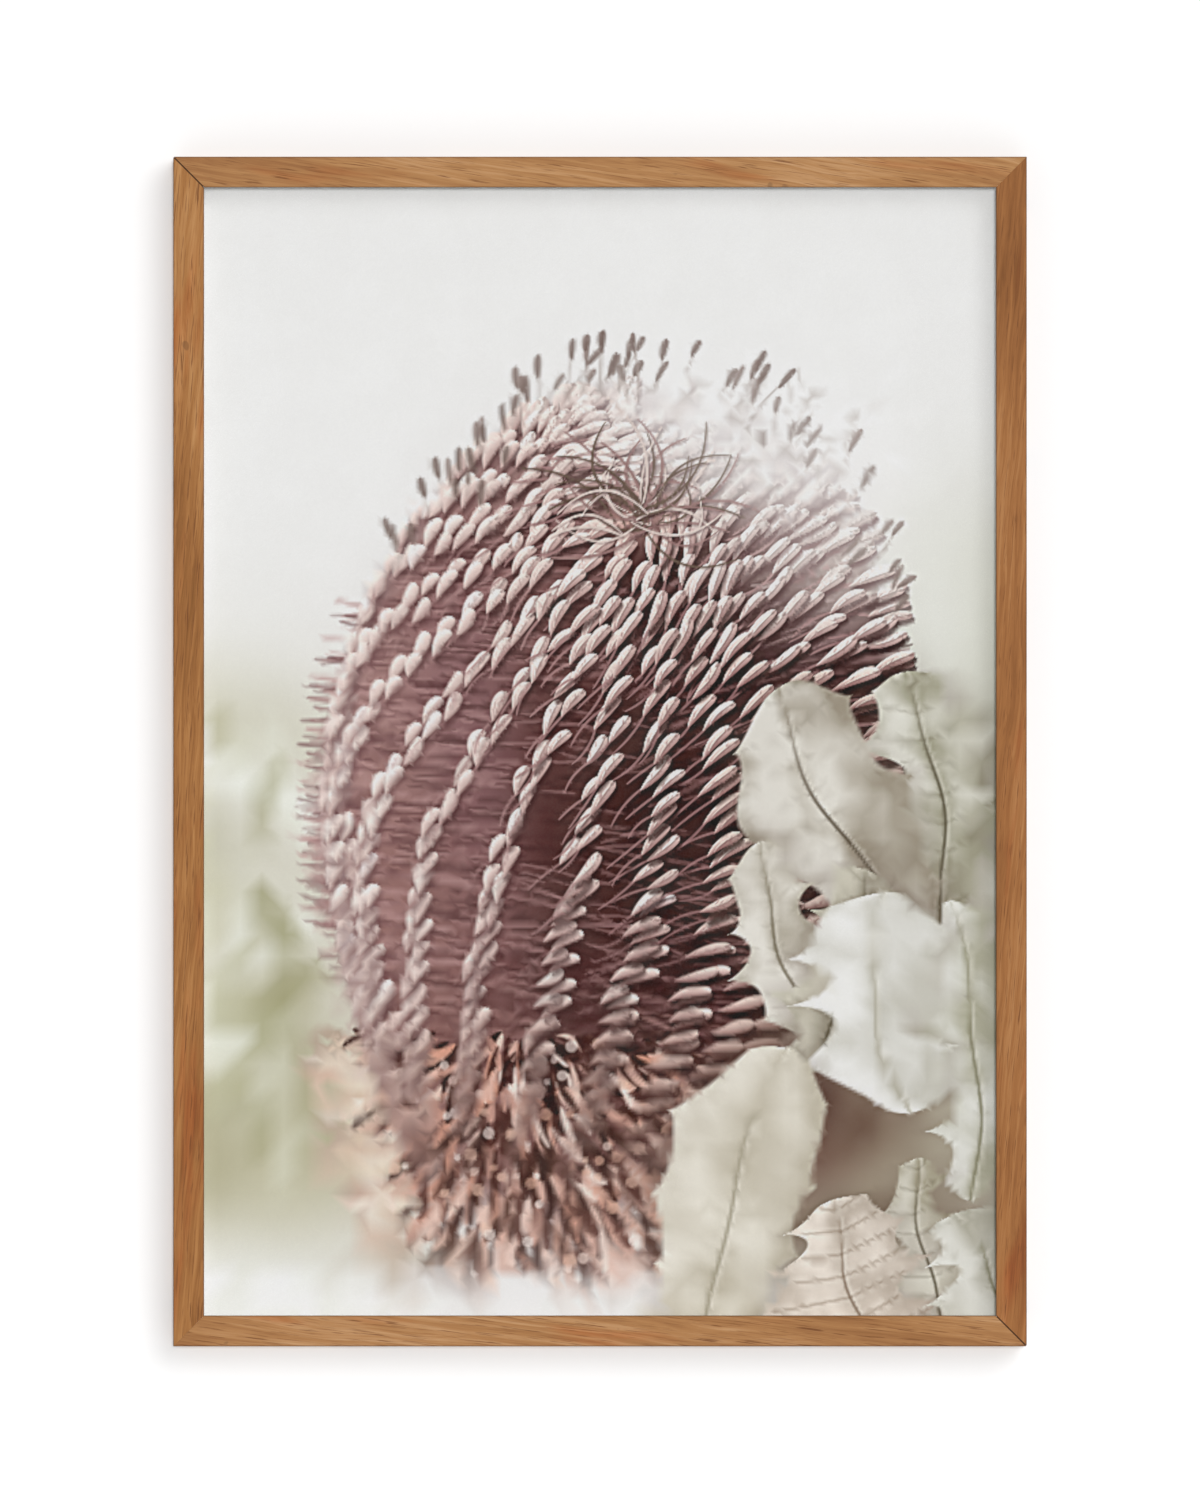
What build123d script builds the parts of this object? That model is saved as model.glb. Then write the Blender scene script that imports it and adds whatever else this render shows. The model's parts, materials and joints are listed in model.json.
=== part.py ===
"""Timber box frame for an ISO A1 print, hung on a wall from two D-rings.

Millimetres, +Z up, +X to the right seen from the front. The front faces -Y and the origin is on the wall,
behind the middle of the frame. Each separate piece is one STEP file in parts/.
"""

import os
from math import asin, cos, degrees, radians, sin, sqrt

from build123d import *

# ---------------------------------------------------------------- driving dimensions
PRINT_W = 594.0  # an ISO A1 sheet
PRINT_H = 841.0
PRINT_COVER = 6.0  # how far the lip covers each edge of the sheet
FACE_W = 22.5  # width of a rail seen from the front
RAIL_D = 35.0  # depth of a rail, front to back
LIP_T = 5.0  # thickness of the lip in front of the glazing
SHEET_PLAY = 1.5  # gap between the edge of each sheet and the rebate wall
WALL_GAP = 6.0  # height of the wall bumpers
ARRIS_R = 0.8  # softened outer edge of the timber
SIGHT_R = 0.5  # softened inner edge of the lip

GLAZING_T = 2.0
PRINT_T = 0.3
TAPE_T = 0.1
MOUNT_T = 5.0
BACKING_T = 3.0
SPACER_W = 4.0
TAPE_W = 25.0  # paper hinges on the back of the print, at its top edge
TAPE_L = 40.0
TAPE_X = 170.0

MITRE_GAP_TIGHT = 0.06  # a corner that has stayed closed
MITRE_GAP_OPEN = 0.5  # a corner whose joint has opened to a hairline

NAIL_LEG = 4.5  # V-nail: length of each leg, thickness of the strip, height
NAIL_T = 0.5
NAIL_H = 10.0
NAIL_FIT = 0.03
NAIL_INSETS = (3.5, 9.0)  # apex of each nail from the two outer faces of its corner

BUTTON_L = 38.0  # turn button
BUTTON_W = 12.0
BUTTON_T = 1.2
BUTTON_NARROWING = 1.2  # how much smaller the round finger end is than the screw end, in radius
BUTTON_HOLE_INSET = 6.0
BUTTON_LIFT = 12.0  # degrees that the finger end bends up
BUTTON_LIFT_L = 8.0
BUTTON_PLAY = 0.2  # gap between a turn button and the timber
BUTTON_INSET = 8.0  # screw line, from the outer face of the rail
SIDE_BUTTON_Z = (-310.0, 0.0, 310.0)
END_BUTTON_X = (-150.0, 150.0)

SCREW_D = 3.5  # pan-head wood screw
SCREW_HOLE_D = 3.7
SCREW_FIT = 0.02
SCREW_HEAD_D = 7.0
SCREW_HEAD_H = 2.2
SCREW_L = 13.0
SCREW_TIP_L = 3.0
SCREW_TIP_TAPER = 25.0  # degrees
SCREW_HEAD_R = 1.0  # round edge of the pan head
SCREW_HEAD_PLAY = 0.1  # between a head and the turn button under it
RECESS_W = 1.1  # cross recess
RECESS_L = 3.8
RECESS_DEPTH = 1.3

STRAP_W = 11.0  # hanger strap, folded double round the D-ring
STRAP_T = 1.0
STRAP_L = 37.0
STRAP_END_R = 5.0
STRAP_INSET = 9.0  # centre line, from the outer face of the rail
STRAP_SCREWS = (18.0, 31.0)  # from the ring's axis down the strap
RING_WIRE_D = 2.4
RING_PLAY = 0.15  # inside the barrel
RING_REST_GAP = 0.1  # between the hanging ring and its strap
RING_INNER_W = 12.0
RING_CORNER_R = 1.8
RING_LEG = 2.6
RING_AXIS_Z = 225.0  # about a quarter of the height down from the top

BUMPER_D = 12.7
BUMPER_INSET = 7.5
BUMPER_FROM_END = 30.0
BUMPER_R = 1.2

# ---------------------------------------------------------------- worked out from them
REBATE_W = PRINT_COVER + SHEET_PLAY
WOOD_W = FACE_W - REBATE_W  # timber left beside the rebate
FRAME_W = PRINT_W + 2 * (FACE_W - PRINT_COVER)
FRAME_H = PRINT_H + 2 * (FACE_W - PRINT_COVER)
BACK_Y = -WALL_GAP
FRONT_Y = BACK_Y - RAIL_D
GLAZING_Y = FRONT_Y + LIP_T
BACKING_Y = BACK_Y - BACKING_T
MOUNT_Y = BACKING_Y - MOUNT_T
PRINT_Y = MOUNT_Y - TAPE_T - PRINT_T
SPACER_Y = GLAZING_Y + GLAZING_T
SPACER_D = PRINT_Y - SPACER_Y

X, Y, Z = Vector(1, 0, 0), Vector(0, 1, 0), Vector(0, 0, 1)
# For each side: the outer face's centre line, and the direction from it to the middle of the frame.
SIDES = {
    "top": (Z * (FRAME_H / 2), Z * -1, FRAME_W),
    "bottom": (Z * (-FRAME_H / 2), Z, FRAME_W),
    "left": (X * (-FRAME_W / 2), X, FRAME_H),
    "right": (X * (FRAME_W / 2), X * -1, FRAME_H),
}
CORNERS = {
    "top_left": (-1, 1, MITRE_GAP_OPEN),
    "top_right": (1, 1, MITRE_GAP_TIGHT),
    "bottom_left": (-1, -1, MITRE_GAP_TIGHT),
    "bottom_right": (1, -1, MITRE_GAP_OPEN),
}


def back_plane(side, along, inset, lift=0.0):
    """A plane on the back of a rail, `inset` from its outer face: x to the frame's middle, z to the wall."""
    edge, inward, _ = SIDES[side]
    run = X if side in ("top", "bottom") else Z
    return Plane(origin=edge + run * along + inward * inset + Y * (BACK_Y + lift), x_dir=inward, z_dir=Y)


def side_plane(plane):
    """The upright plane through another plane's x axis: its y axis is the other plane's normal."""
    return Plane(origin=plane.origin, x_dir=plane.x_dir, z_dir=plane.x_dir.cross(plane.z_dir))


def save(part, label):
    """Name a finished piece and write it to its own STEP file."""
    part.label = label
    export_step(part, f"parts/{label}.step")


os.makedirs("parts", exist_ok=True)

button_places = {}
for side in ("left", "right"):
    for number, z in enumerate(SIDE_BUTTON_Z, 1):
        button_places[f"{side}_{number}"] = (side, z)
for side in ("top", "bottom"):
    for number, x in enumerate(END_BUTTON_X, 1):
        button_places[f"{side}_{number}"] = (side, x)

# Screws enter each rail at its turn buttons, and the side rails also at their hanger straps.
button_screw_planes = {name: back_plane(side, at, BUTTON_INSET) for name, (side, at) in button_places.items()}
strap_screw_planes = {
    f"{side}_{number}": back_plane(side, RING_AXIS_Z - down, STRAP_INSET)
    for side in ("left", "right")
    for number, down in enumerate(STRAP_SCREWS, 1)
}


def nail_line(corner, inset):
    """The three points of a V-nail: its apex on the mitre, one leg along each rail, seen from behind."""
    sx, sz, _ = CORNERS[corner]
    apex = X * sx * (FRAME_W / 2 - inset) + Z * sz * (FRAME_H / 2 - inset)
    return [apex - X * sx * NAIL_LEG, apex, apex - Z * sz * NAIL_LEG]


BACK = Plane(origin=(0, BACK_Y, 0), x_dir=(-1, 0, 0), z_dir=(0, 1, 0))

# ---------------------------------------------------------------- rails
for side, (edge, inward, length) in SIDES.items():
    along = inward.cross(Y)
    start = edge + Y * FRONT_Y - along * (length / 2)
    with BuildPart() as rail:
        with BuildSketch(Plane(origin=start, x_dir=inward, z_dir=along)) as profile:
            with BuildLine():
                Polyline(
                    (0, 0),
                    (FACE_W, 0),
                    (FACE_W, LIP_T),
                    (WOOD_W, LIP_T),
                    (WOOD_W, RAIL_D),
                    (0, RAIL_D),
                    close=True,
                )
            make_face()
            front_points = profile.vertices().group_by(Axis.Y)[0].sort_by(Axis.X)
            fillet(front_points[0], ARRIS_R)
            lip_points = [v for v in profile.vertices() if abs(v.X - FACE_W) < 0.01]
            fillet(lip_points, SIGHT_R)
        extrude(amount=length)
        for name, (sx, sz, gap) in CORNERS.items():
            if side in name.split("_"):
                corner = X * sx * FRAME_W / 2 + Z * sz * FRAME_H / 2
                toward_end = along if corner.dot(along) > 0 else along * -1
                normal = (toward_end + inward).normalized()
                split(bisect_by=Plane(origin=corner - normal * (gap / 2), z_dir=normal), keep=Keep.BOTTOM)
                with BuildSketch(BACK):
                    for inset in NAIL_INSETS:
                        points = [BACK.to_local_coords(p) for p in nail_line(name, inset)]
                        with BuildLine() as nail_path:
                            Polyline(*points)
                        trace(nail_path.edges(), line_width=NAIL_T + 2 * NAIL_FIT)
                extrude(amount=-NAIL_H - NAIL_FIT, mode=Mode.SUBTRACT)
        screw_planes = [p for n, p in button_screw_planes.items() if n.startswith(side)]
        screw_planes += [p for n, p in strap_screw_planes.items() if n.startswith(side)]
        with BuildSketch(*screw_planes):
            Circle(SCREW_D / 2 + SCREW_FIT)
        extrude(amount=-SCREW_L, mode=Mode.SUBTRACT)
    save(rail.part, f"rail_{side}")

# ---------------------------------------------------------------- V-nails, two across each mitre
for name in CORNERS:
    with BuildPart() as v_nails:
        with BuildSketch(BACK):
            for inset in NAIL_INSETS:
                points = [BACK.to_local_coords(p) for p in nail_line(name, inset)]
                with BuildLine() as nail_path:
                    Polyline(*points)
                trace(nail_path.edges(), line_width=NAIL_T)
        extrude(amount=-NAIL_H)
    save(v_nails.part, f"v_nails_{name}")

# ---------------------------------------------------------------- the sheets in the rebate, front to back
SHEETS = {
    "glazing_sheet": (GLAZING_Y, GLAZING_T),
    "print_sheet": (PRINT_Y, PRINT_T),
    "mount_board": (MOUNT_Y, MOUNT_T),
    "backing_board": (BACKING_Y, BACKING_T),
}
for name, (front, thickness) in SHEETS.items():
    with BuildPart() as sheet:
        with BuildSketch(Plane(origin=(0, front, 0), x_dir=(-1, 0, 0), z_dir=(0, 1, 0))):
            Rectangle(PRINT_W, PRINT_H)
        extrude(amount=thickness)
    save(sheet.part, name)

# ---------------------------------------------------------------- spacers between the glazing and the print
# The upright spacers run the full height, and the level ones fit between them.
for side, (edge, inward, _) in SIDES.items():
    upright = side in ("left", "right")
    length = PRINT_H if upright else PRINT_W - 2 * SPACER_W
    centre = edge + inward * (FACE_W - PRINT_COVER + SPACER_W / 2) + Y * SPACER_Y
    with BuildPart() as spacer:
        with BuildSketch(Plane(origin=centre, x_dir=inward, z_dir=Y)):
            Rectangle(SPACER_W, length)
        extrude(amount=SPACER_D)
    save(spacer.part, f"spacer_{side}")

# ---------------------------------------------------------------- paper hinges that hang the print
with BuildPart() as tapes:
    tape_z = PRINT_H / 2 - TAPE_L / 2
    with BuildSketch(Plane(origin=(0, PRINT_Y + PRINT_T, 0), x_dir=(-1, 0, 0), z_dir=(0, 1, 0))):
        with Locations((-TAPE_X, tape_z), (TAPE_X, tape_z)):
            Rectangle(TAPE_W, TAPE_L)
    extrude(amount=TAPE_T)
save(tapes.part, "print_hinge_tapes")


# ---------------------------------------------------------------- pan-head wood screws
def build_screws(planes, seat, label):
    """One node of separate screws. `planes` lie on the timber and `seat` is how far off it the heads sit."""
    seats = [p.offset(seat) for p in planes]
    shank_end = SCREW_L - SCREW_TIP_L
    with BuildPart() as screws:
        with BuildSketch(*seats):
            Circle(SCREW_D / 2)
        extrude(amount=-(seat + shank_end))
        with BuildSketch(*[p.offset(-shank_end) for p in planes]):
            Circle(SCREW_D / 2)
        extrude(amount=-SCREW_TIP_L, taper=SCREW_TIP_TAPER)
        with BuildSketch(*seats):
            Circle(SCREW_HEAD_D / 2)
        extrude(amount=SCREW_HEAD_H)
        head_rims = [
            e
            for e in screws.edges().filter_by(GeomType.CIRCLE)
            if abs(e.arc_center.Y - (BACK_Y + seat + SCREW_HEAD_H)) < 0.01
        ]
        fillet(head_rims, SCREW_HEAD_R)
        with BuildSketch(*[p.offset(seat + SCREW_HEAD_H) for p in planes]):
            Rectangle(RECESS_L, RECESS_W, rotation=45)
            Rectangle(RECESS_W, RECESS_L, rotation=45)
        extrude(amount=-RECESS_DEPTH, mode=Mode.SUBTRACT)
    save(screws.part, label)


button_seat = BUTTON_PLAY + BUTTON_T + SCREW_HEAD_PLAY
build_screws(list(button_screw_planes.values()), button_seat, "turn_button_screws")
build_screws(list(strap_screw_planes.values()), 2 * STRAP_T, "hanger_screws")

# ---------------------------------------------------------------- turn buttons
for name, (side, at) in button_places.items():
    base = back_plane(side, at, BUTTON_INSET, lift=BUTTON_PLAY)
    flat_end = BUTTON_L - BUTTON_HOLE_INSET - BUTTON_LIFT_L
    tip = (
        flat_end + BUTTON_LIFT_L * cos(radians(BUTTON_LIFT)),
        BUTTON_T / 2 + BUTTON_LIFT_L * sin(radians(BUTTON_LIFT)),
    )
    with BuildPart() as turn_button:
        with BuildSketch(side_plane(base)):
            with BuildLine() as strip:
                heel, bend = (-BUTTON_HOLE_INSET, BUTTON_T / 2), (flat_end, BUTTON_T / 2)
                FilletPolyline(heel, bend, tip, radius=2 * BUTTON_LIFT_L)
            trace(strip.edges(), line_width=BUTTON_T)
        extrude(amount=BUTTON_W / 2, both=True)
        # The outline: a strip with round ends, a little wider at the screw than at the finger end.
        with BuildSketch(base):
            with BuildLine():
                near_r, far_r = BUTTON_W / 2, BUTTON_W / 2 - BUTTON_NARROWING
                far = tip[0] - far_r
                slope = asin((near_r - far_r) / far)
                rise, run = cos(slope), sin(slope)
                a, b = (near_r * run, near_r * rise), (far + far_r * run, far_r * rise)
                Line(a, b)
                ThreePointArc(b, (far + far_r, 0), (b[0], -b[1]))
                Line((b[0], -b[1]), (a[0], -a[1]))
                ThreePointArc((a[0], -a[1]), (-near_r, 0), a)
            make_face()
            Circle(SCREW_HOLE_D / 2, mode=Mode.SUBTRACT)
        extrude(amount=2 * BUTTON_W, both=True, mode=Mode.INTERSECT)
    save(turn_button.part, f"turn_button_{name}")

# ---------------------------------------------------------------- D-ring hangers
BARREL_IN_R = RING_WIRE_D / 2 + RING_PLAY
BARREL_OUT_R = BARREL_IN_R + STRAP_T
RING_HALF_W = RING_INNER_W / 2 + RING_WIRE_D / 2  # centre line of the wire, from the middle
# The loose ring lies on the edges of its strap, so it leans out from the timber by this angle.
EDGE_REACH = RING_CORNER_R + RING_LEG + sqrt(RING_HALF_W**2 - (STRAP_W / 2 + RING_WIRE_D / 2) ** 2)
RING_LEAN = degrees(asin((2 * STRAP_T + RING_WIRE_D / 2 + RING_REST_GAP - BARREL_OUT_R) / EDGE_REACH))
for side in ("left", "right"):
    edge, inward, _ = SIDES[side]
    foot = edge + inward * STRAP_INSET + Z * RING_AXIS_Z + Y * BACK_Y
    down_strap = Plane(origin=foot, x_dir=Z * -1, z_dir=(Z * -1).cross(Y))
    with BuildPart() as strap:
        with BuildSketch(down_strap):
            with Locations((0, BARREL_OUT_R)):
                Circle(BARREL_OUT_R)
            with Locations((STRAP_L / 2, STRAP_T)):
                Rectangle(STRAP_L, 2 * STRAP_T)
            with Locations((0, BARREL_OUT_R)):
                Circle(BARREL_IN_R, mode=Mode.SUBTRACT)
        extrude(amount=STRAP_W / 2, both=True)
        # The far end is rounded, and the two layers are drilled for the screws.
        fillet(strap.edges().filter_by(Axis.Y).group_by(Axis.Z)[0], STRAP_END_R)
        with BuildSketch(Plane(origin=foot, x_dir=(0, 0, -1), z_dir=(0, 1, 0))):
            with Locations(*[(down, 0) for down in STRAP_SCREWS]):
                Circle(SCREW_D / 2 + SCREW_FIT)
        extrude(amount=2 * STRAP_T, mode=Mode.SUBTRACT)
    save(strap.part, f"hanger_strap_{side}")

    axis_point = foot + Y * BARREL_OUT_R
    lean = radians(RING_LEAN)
    hang = Vector(0, sin(lean), -cos(lean))
    ring_plane = Plane(origin=axis_point, x_dir=(1, 0, 0), z_dir=X.cross(hang))
    with BuildPart() as ring:
        with BuildLine(ring_plane):
            bar = Line((-(RING_HALF_W - RING_CORNER_R), 0), (RING_HALF_W - RING_CORNER_R, 0))
            corner_a = JernArc(bar @ 1, bar % 1, RING_CORNER_R, 90)
            leg_a = Line(corner_a @ 1, corner_a @ 1 + hang * RING_LEG)
            crown = JernArc(leg_a @ 1, leg_a % 1, RING_HALF_W, 180)
            leg_b = Line(crown @ 1, crown @ 1 - hang * RING_LEG)
            JernArc(leg_b @ 1, leg_b % 1, RING_CORNER_R, 90)
        with BuildSketch(Plane(origin=axis_point, z_dir=(1, 0, 0))):
            Circle(RING_WIRE_D / 2)
        sweep()
    save(ring.part, f"d_ring_{side}")

print("ring axis y", axis_point.Y, "z", axis_point.Z, "lean", RING_LEAN)

# ---------------------------------------------------------------- wall bumpers
for name, (sx, sz, _) in CORNERS.items():
    middle = (sx * (FRAME_W / 2 - BUMPER_INSET), BACK_Y, sz * (FRAME_H / 2 - BUMPER_FROM_END))
    with BuildPart() as bumper:
        with BuildSketch(Plane(origin=middle, x_dir=(-1, 0, 0), z_dir=(0, 1, 0))):
            Circle(BUMPER_D / 2)
        extrude(amount=WALL_GAP)
        fillet(bumper.faces().sort_by(Axis.Y)[-1].edges(), BUMPER_R)
    save(bumper.part, f"bumper_{name}")

print("outer", FRAME_W, FRAME_H, RAIL_D + WALL_GAP, "sight", FRAME_W - 2 * FACE_W, FRAME_H - 2 * FACE_W)
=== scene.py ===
# %% [markdown]
# # A timber box frame with a printed picture
# This lesson dresses a finished CAD model: four mitred rails, clear glazing, a paper print and the hardware
# on the back. The CAD bodies stay where they are. Each step says what the real piece is, how it could be
# made, and why one way was picked. Colours are sRGB hex values, and sizes are in metres unless a comment says
# otherwise: the picture is painted in millimetres.

import json
from math import atan2, cos, hypot, pi, radians, sin

import bmesh
import bpy
import numpy as np
from mathutils import Matrix, Vector


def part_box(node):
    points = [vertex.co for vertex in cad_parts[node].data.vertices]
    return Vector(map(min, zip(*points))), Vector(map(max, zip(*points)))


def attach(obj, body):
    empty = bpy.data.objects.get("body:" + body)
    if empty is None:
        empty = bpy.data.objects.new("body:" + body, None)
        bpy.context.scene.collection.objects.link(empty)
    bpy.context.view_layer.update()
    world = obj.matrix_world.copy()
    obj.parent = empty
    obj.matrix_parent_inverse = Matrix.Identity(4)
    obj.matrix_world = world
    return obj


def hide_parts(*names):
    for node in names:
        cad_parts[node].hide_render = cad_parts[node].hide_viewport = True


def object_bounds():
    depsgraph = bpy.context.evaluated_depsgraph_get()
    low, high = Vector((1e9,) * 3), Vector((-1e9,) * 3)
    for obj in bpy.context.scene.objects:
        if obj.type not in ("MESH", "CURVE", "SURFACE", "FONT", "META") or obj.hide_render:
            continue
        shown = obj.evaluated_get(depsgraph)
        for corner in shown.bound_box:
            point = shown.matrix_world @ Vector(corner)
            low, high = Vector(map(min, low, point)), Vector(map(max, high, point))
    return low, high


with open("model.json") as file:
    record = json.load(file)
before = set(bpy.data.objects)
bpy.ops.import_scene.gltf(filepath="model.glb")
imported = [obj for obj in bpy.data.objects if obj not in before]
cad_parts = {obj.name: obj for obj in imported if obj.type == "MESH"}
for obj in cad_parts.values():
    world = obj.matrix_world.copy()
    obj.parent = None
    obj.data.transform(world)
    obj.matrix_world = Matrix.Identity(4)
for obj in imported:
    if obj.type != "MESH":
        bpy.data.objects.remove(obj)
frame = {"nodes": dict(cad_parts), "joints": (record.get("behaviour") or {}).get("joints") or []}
cad_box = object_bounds()
MM = 0.001
low, high = (Vector(corner) for corner in cad_box)
print("CAD box, mm:", [round(v / MM, 1) for v in high - low])

# %% [markdown]
# ## Camera, light and room
# The frame hangs on a white wall and is seen square on from far away, as in a catalogue, so that its sides
# stay parallel and its lip hides what is behind it. A wide soft lamp up on the right gives the short shadows
# on the wall and inside the lip. A lamp near the camera fills the rest, and a third lights the back of the
# frame. A black flag behind the camera keeps the glazing clear: it is all that the pane mirrors.

# %% Camera
LENS = 450.0  # mm, so long that the sides stay parallel
SENSOR = 36.0  # mm
SEEN_HEIGHT = 1.102  # metres from the bottom to the top of the view
EYE_LEVEL = 1.1 * MM  # the frame hangs a hair below the middle of the view
front_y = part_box("rail_top")[0].y


def in_scene(name, data):
    """A new object in the scene."""
    thing = bpy.data.objects.new(name, data)
    bpy.context.scene.collection.objects.link(thing)
    return thing


camera = in_scene("camera", bpy.data.cameras.new("camera"))
camera.data.lens = LENS
camera.data.sensor_width = SENSOR
camera.location = (0.0, front_y - SEEN_HEIGHT * LENS / SENSOR, EYE_LEVEL)
camera.rotation_euler = (pi / 2, 0.0, 0.0)
bpy.context.scene.camera = camera
print("camera is", round(-camera.location.y, 3), "m from the wall")


# %% Lamps
def sun(name, toward, strength, spread, mirrored=True):
    """A lamp far away: `toward` is the way its light travels, `spread` its width in degrees."""
    lamp = in_scene(name, bpy.data.lights.new(name, "SUN"))
    lamp.data.energy = strength
    lamp.data.angle = radians(spread)
    lamp.rotation_euler = Vector(toward).to_track_quat("-Z", "Y").to_euler()
    lamp.visible_glossy = mirrored


sun("key", (-0.42, 1.0, -0.42), 1.085, 36.0)
sun("fill", (-0.03, 1.0, -0.04), 1.52, 5.0, mirrored=False)
sun("back_light", (0.45, -1.0, -0.55), 2.2, 24.0)
bpy.context.scene.view_settings.view_transform = "Standard"
print("lamps:", [lamp.name for lamp in bpy.data.lights])

# %% [markdown]
# ## Helpers for finishes
# Every finish here is a tree of nodes. One function turns a hex colour into the linear numbers that shaders
# use, one adds a node with its settings and links, one starts a material, one plugs what was worked out into
# its shader, and one gives the finished material to CAD pieces.


# %% Colours, nodes and materials
def linear(hex_colour):
    """An sRGB hex colour as the linear RGBA that shaders use."""
    channels = [int(hex_colour[i : i + 2], 16) / 255 for i in (0, 2, 4)]
    return tuple(c / 12.92 if c <= 0.04045 else ((c + 0.055) / 1.055) ** 2.4 for c in channels) + (1.0,)


def add(tree, kind, inputs=None, stops=(), **settings):
    """Adds one node. `inputs` maps a socket's name or number to a value or to another node's socket, `stops`
    are a colour ramp's (position, hex colour) pairs, and `settings` are the node's own properties."""
    node = tree.nodes.new(kind)
    for key, value in settings.items():
        setattr(node, key, value)
    for i, (position, tint) in enumerate(stops):
        stop = node.color_ramp.elements[i] if i < 2 else node.color_ramp.elements.new(position)
        stop.position = position
        stop.color = linear(tint)
    for key, value in (inputs or {}).items():
        if isinstance(value, bpy.types.NodeSocket):
            tree.links.new(value, node.inputs[key])
        else:
            node.inputs[key].default_value = value
    return node


def material(name, **shader_inputs):
    """A new material with one Principled shader: returns it, its tree, the shader and the output."""
    made = bpy.data.materials.new(name)
    made.use_nodes = True
    tree = made.node_tree
    tree.nodes.clear()
    inputs = {name.replace("_", " "): value for name, value in shader_inputs.items()}
    shader = add(tree, "ShaderNodeBsdfPrincipled", inputs)
    output = add(tree, "ShaderNodeOutputMaterial", {"Surface": shader.outputs["BSDF"]})
    return made, tree, shader, output


def plug(tree, shader, **sockets):
    """Links sockets to a shader's inputs, which are named here with _ for a space."""
    for name, socket in sockets.items():
        tree.links.new(socket, shader.inputs[name.replace("_", " ")])


def finish_nodes(made, *node_names):
    """Gives CAD nodes one material."""
    for name in node_names:
        mesh = frame["nodes"][name].data
        mesh.materials.clear()
        mesh.materials.append(made)


# %% [markdown]
# ## Wall, floor and sky
# The wall is smooth plaster in matt emulsion. It is see-through from behind, so that the back of the frame
# can be looked at, and it stays out of the light that reaches the timber's sides. The sky is a dim even
# light that looks pale itself, as the far walls of a studio do.


# %% Wall, floor and flag
def stage_plane(name, corners, made):
    """A flat surface of the room. It isn't part of the object."""
    mesh = bpy.data.meshes.new(name)
    mesh.from_pydata(corners, [], [(0, 1, 2, 3)])
    mesh.materials.append(made)
    plane = in_scene(name, mesh)
    return plane


WALL_Y = high.y + 0.2 * MM  # the bumpers all but touch it
FLOOR_Z = low.z - 0.26
WALL_HALF = 3.0
FLOOR_HALF = 6.0
FLAG_HALF = 2.6
FLAG_BEHIND = 0.5  # behind the camera
emulsion = {"Base_Color": linear("FAFAFA"), "Roughness": 0.9}
plaster, tree, shader, output = material("plaster in matt emulsion", **emulsion)
behind = add(tree, "ShaderNodeNewGeometry").outputs["Backfacing"]
clear = add(tree, "ShaderNodeBsdfTransparent").outputs["BSDF"]
one_sided = add(tree, "ShaderNodeMixShader", {"Fac": behind, 1: shader.outputs["BSDF"], 2: clear})
tree.links.new(one_sided.outputs["Shader"], output.inputs["Surface"])
sides = ((-1, -1), (1, -1), (1, 1), (-1, 1))
wall_corners = [(x * WALL_HALF, WALL_Y, WALL_HALF if z > 0 else FLOOR_Z) for x, z in sides]
wall = stage_plane("wall", wall_corners, plaster)
lino = material("pale studio floor", Base_Color=linear("EFEFEF"), Roughness=0.8)[0]
floor = stage_plane("floor", [(x * FLOOR_HALF, y * FLOOR_HALF, FLOOR_Z) for x, y in sides], lino)
felt = material("black felt", Base_Color=linear("161616"), Roughness=1.0, Specular_IOR_Level=0.0)[0]
flag_y = camera.location.y - FLAG_BEHIND
flag = stage_plane("flag", [(x * FLAG_HALF, flag_y, z * FLAG_HALF) for x, z in sides], felt)
unseen_by = (
    (wall, ("shadow", "diffuse", "glossy")),
    (floor, ("glossy",)),
    (flag, ("camera", "diffuse", "shadow", "transmission")),
)
for plane, rays in unseen_by:
    for ray in rays:
        setattr(plane, "visible_" + ray, False)
    print(plane.name, "is unseen by", ", ".join(rays), "rays")

# %% Sky
SKY_LIGHT = 0.22
SKY_SEEN = 0.80
world = bpy.data.worlds.new("studio")
world.use_nodes = True
tree = world.node_tree
tree.nodes.clear()
seen = add(tree, "ShaderNodeLightPath").outputs["Is Camera Ray"]
levels = {0: seen, 1: SKY_SEEN - SKY_LIGHT, 2: SKY_LIGHT}
strength = add(tree, "ShaderNodeMath", levels, operation="MULTIPLY_ADD").outputs[0]
sky = add(tree, "ShaderNodeBackground", {"Color": (1.0, 1.0, 1.0, 1.0), "Strength": strength})
add(tree, "ShaderNodeOutputWorld", {"Surface": sky.outputs[0]})
bpy.context.scene.world = world
print("sky lights with", SKY_LIGHT, "and looks like", SKY_SEEN)

# %% [markdown]
# ## Oiled oak
# The rails are strips of oak, planed square, rebated, mitred and oiled. Oak shows growth rings as streaks
# that drift slowly across a strip, fine dark pores that run with the grain, and broad patches of warmer and
# paler wood. A carved mesh can't hold pores, so nodes draw all of it on the piece's own coordinates in
# millimetres, turned so that the grain runs along X and stretched that way. Every rail gets its own board:
# another place in the pattern, another drift of the grain, its own tone.

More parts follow.
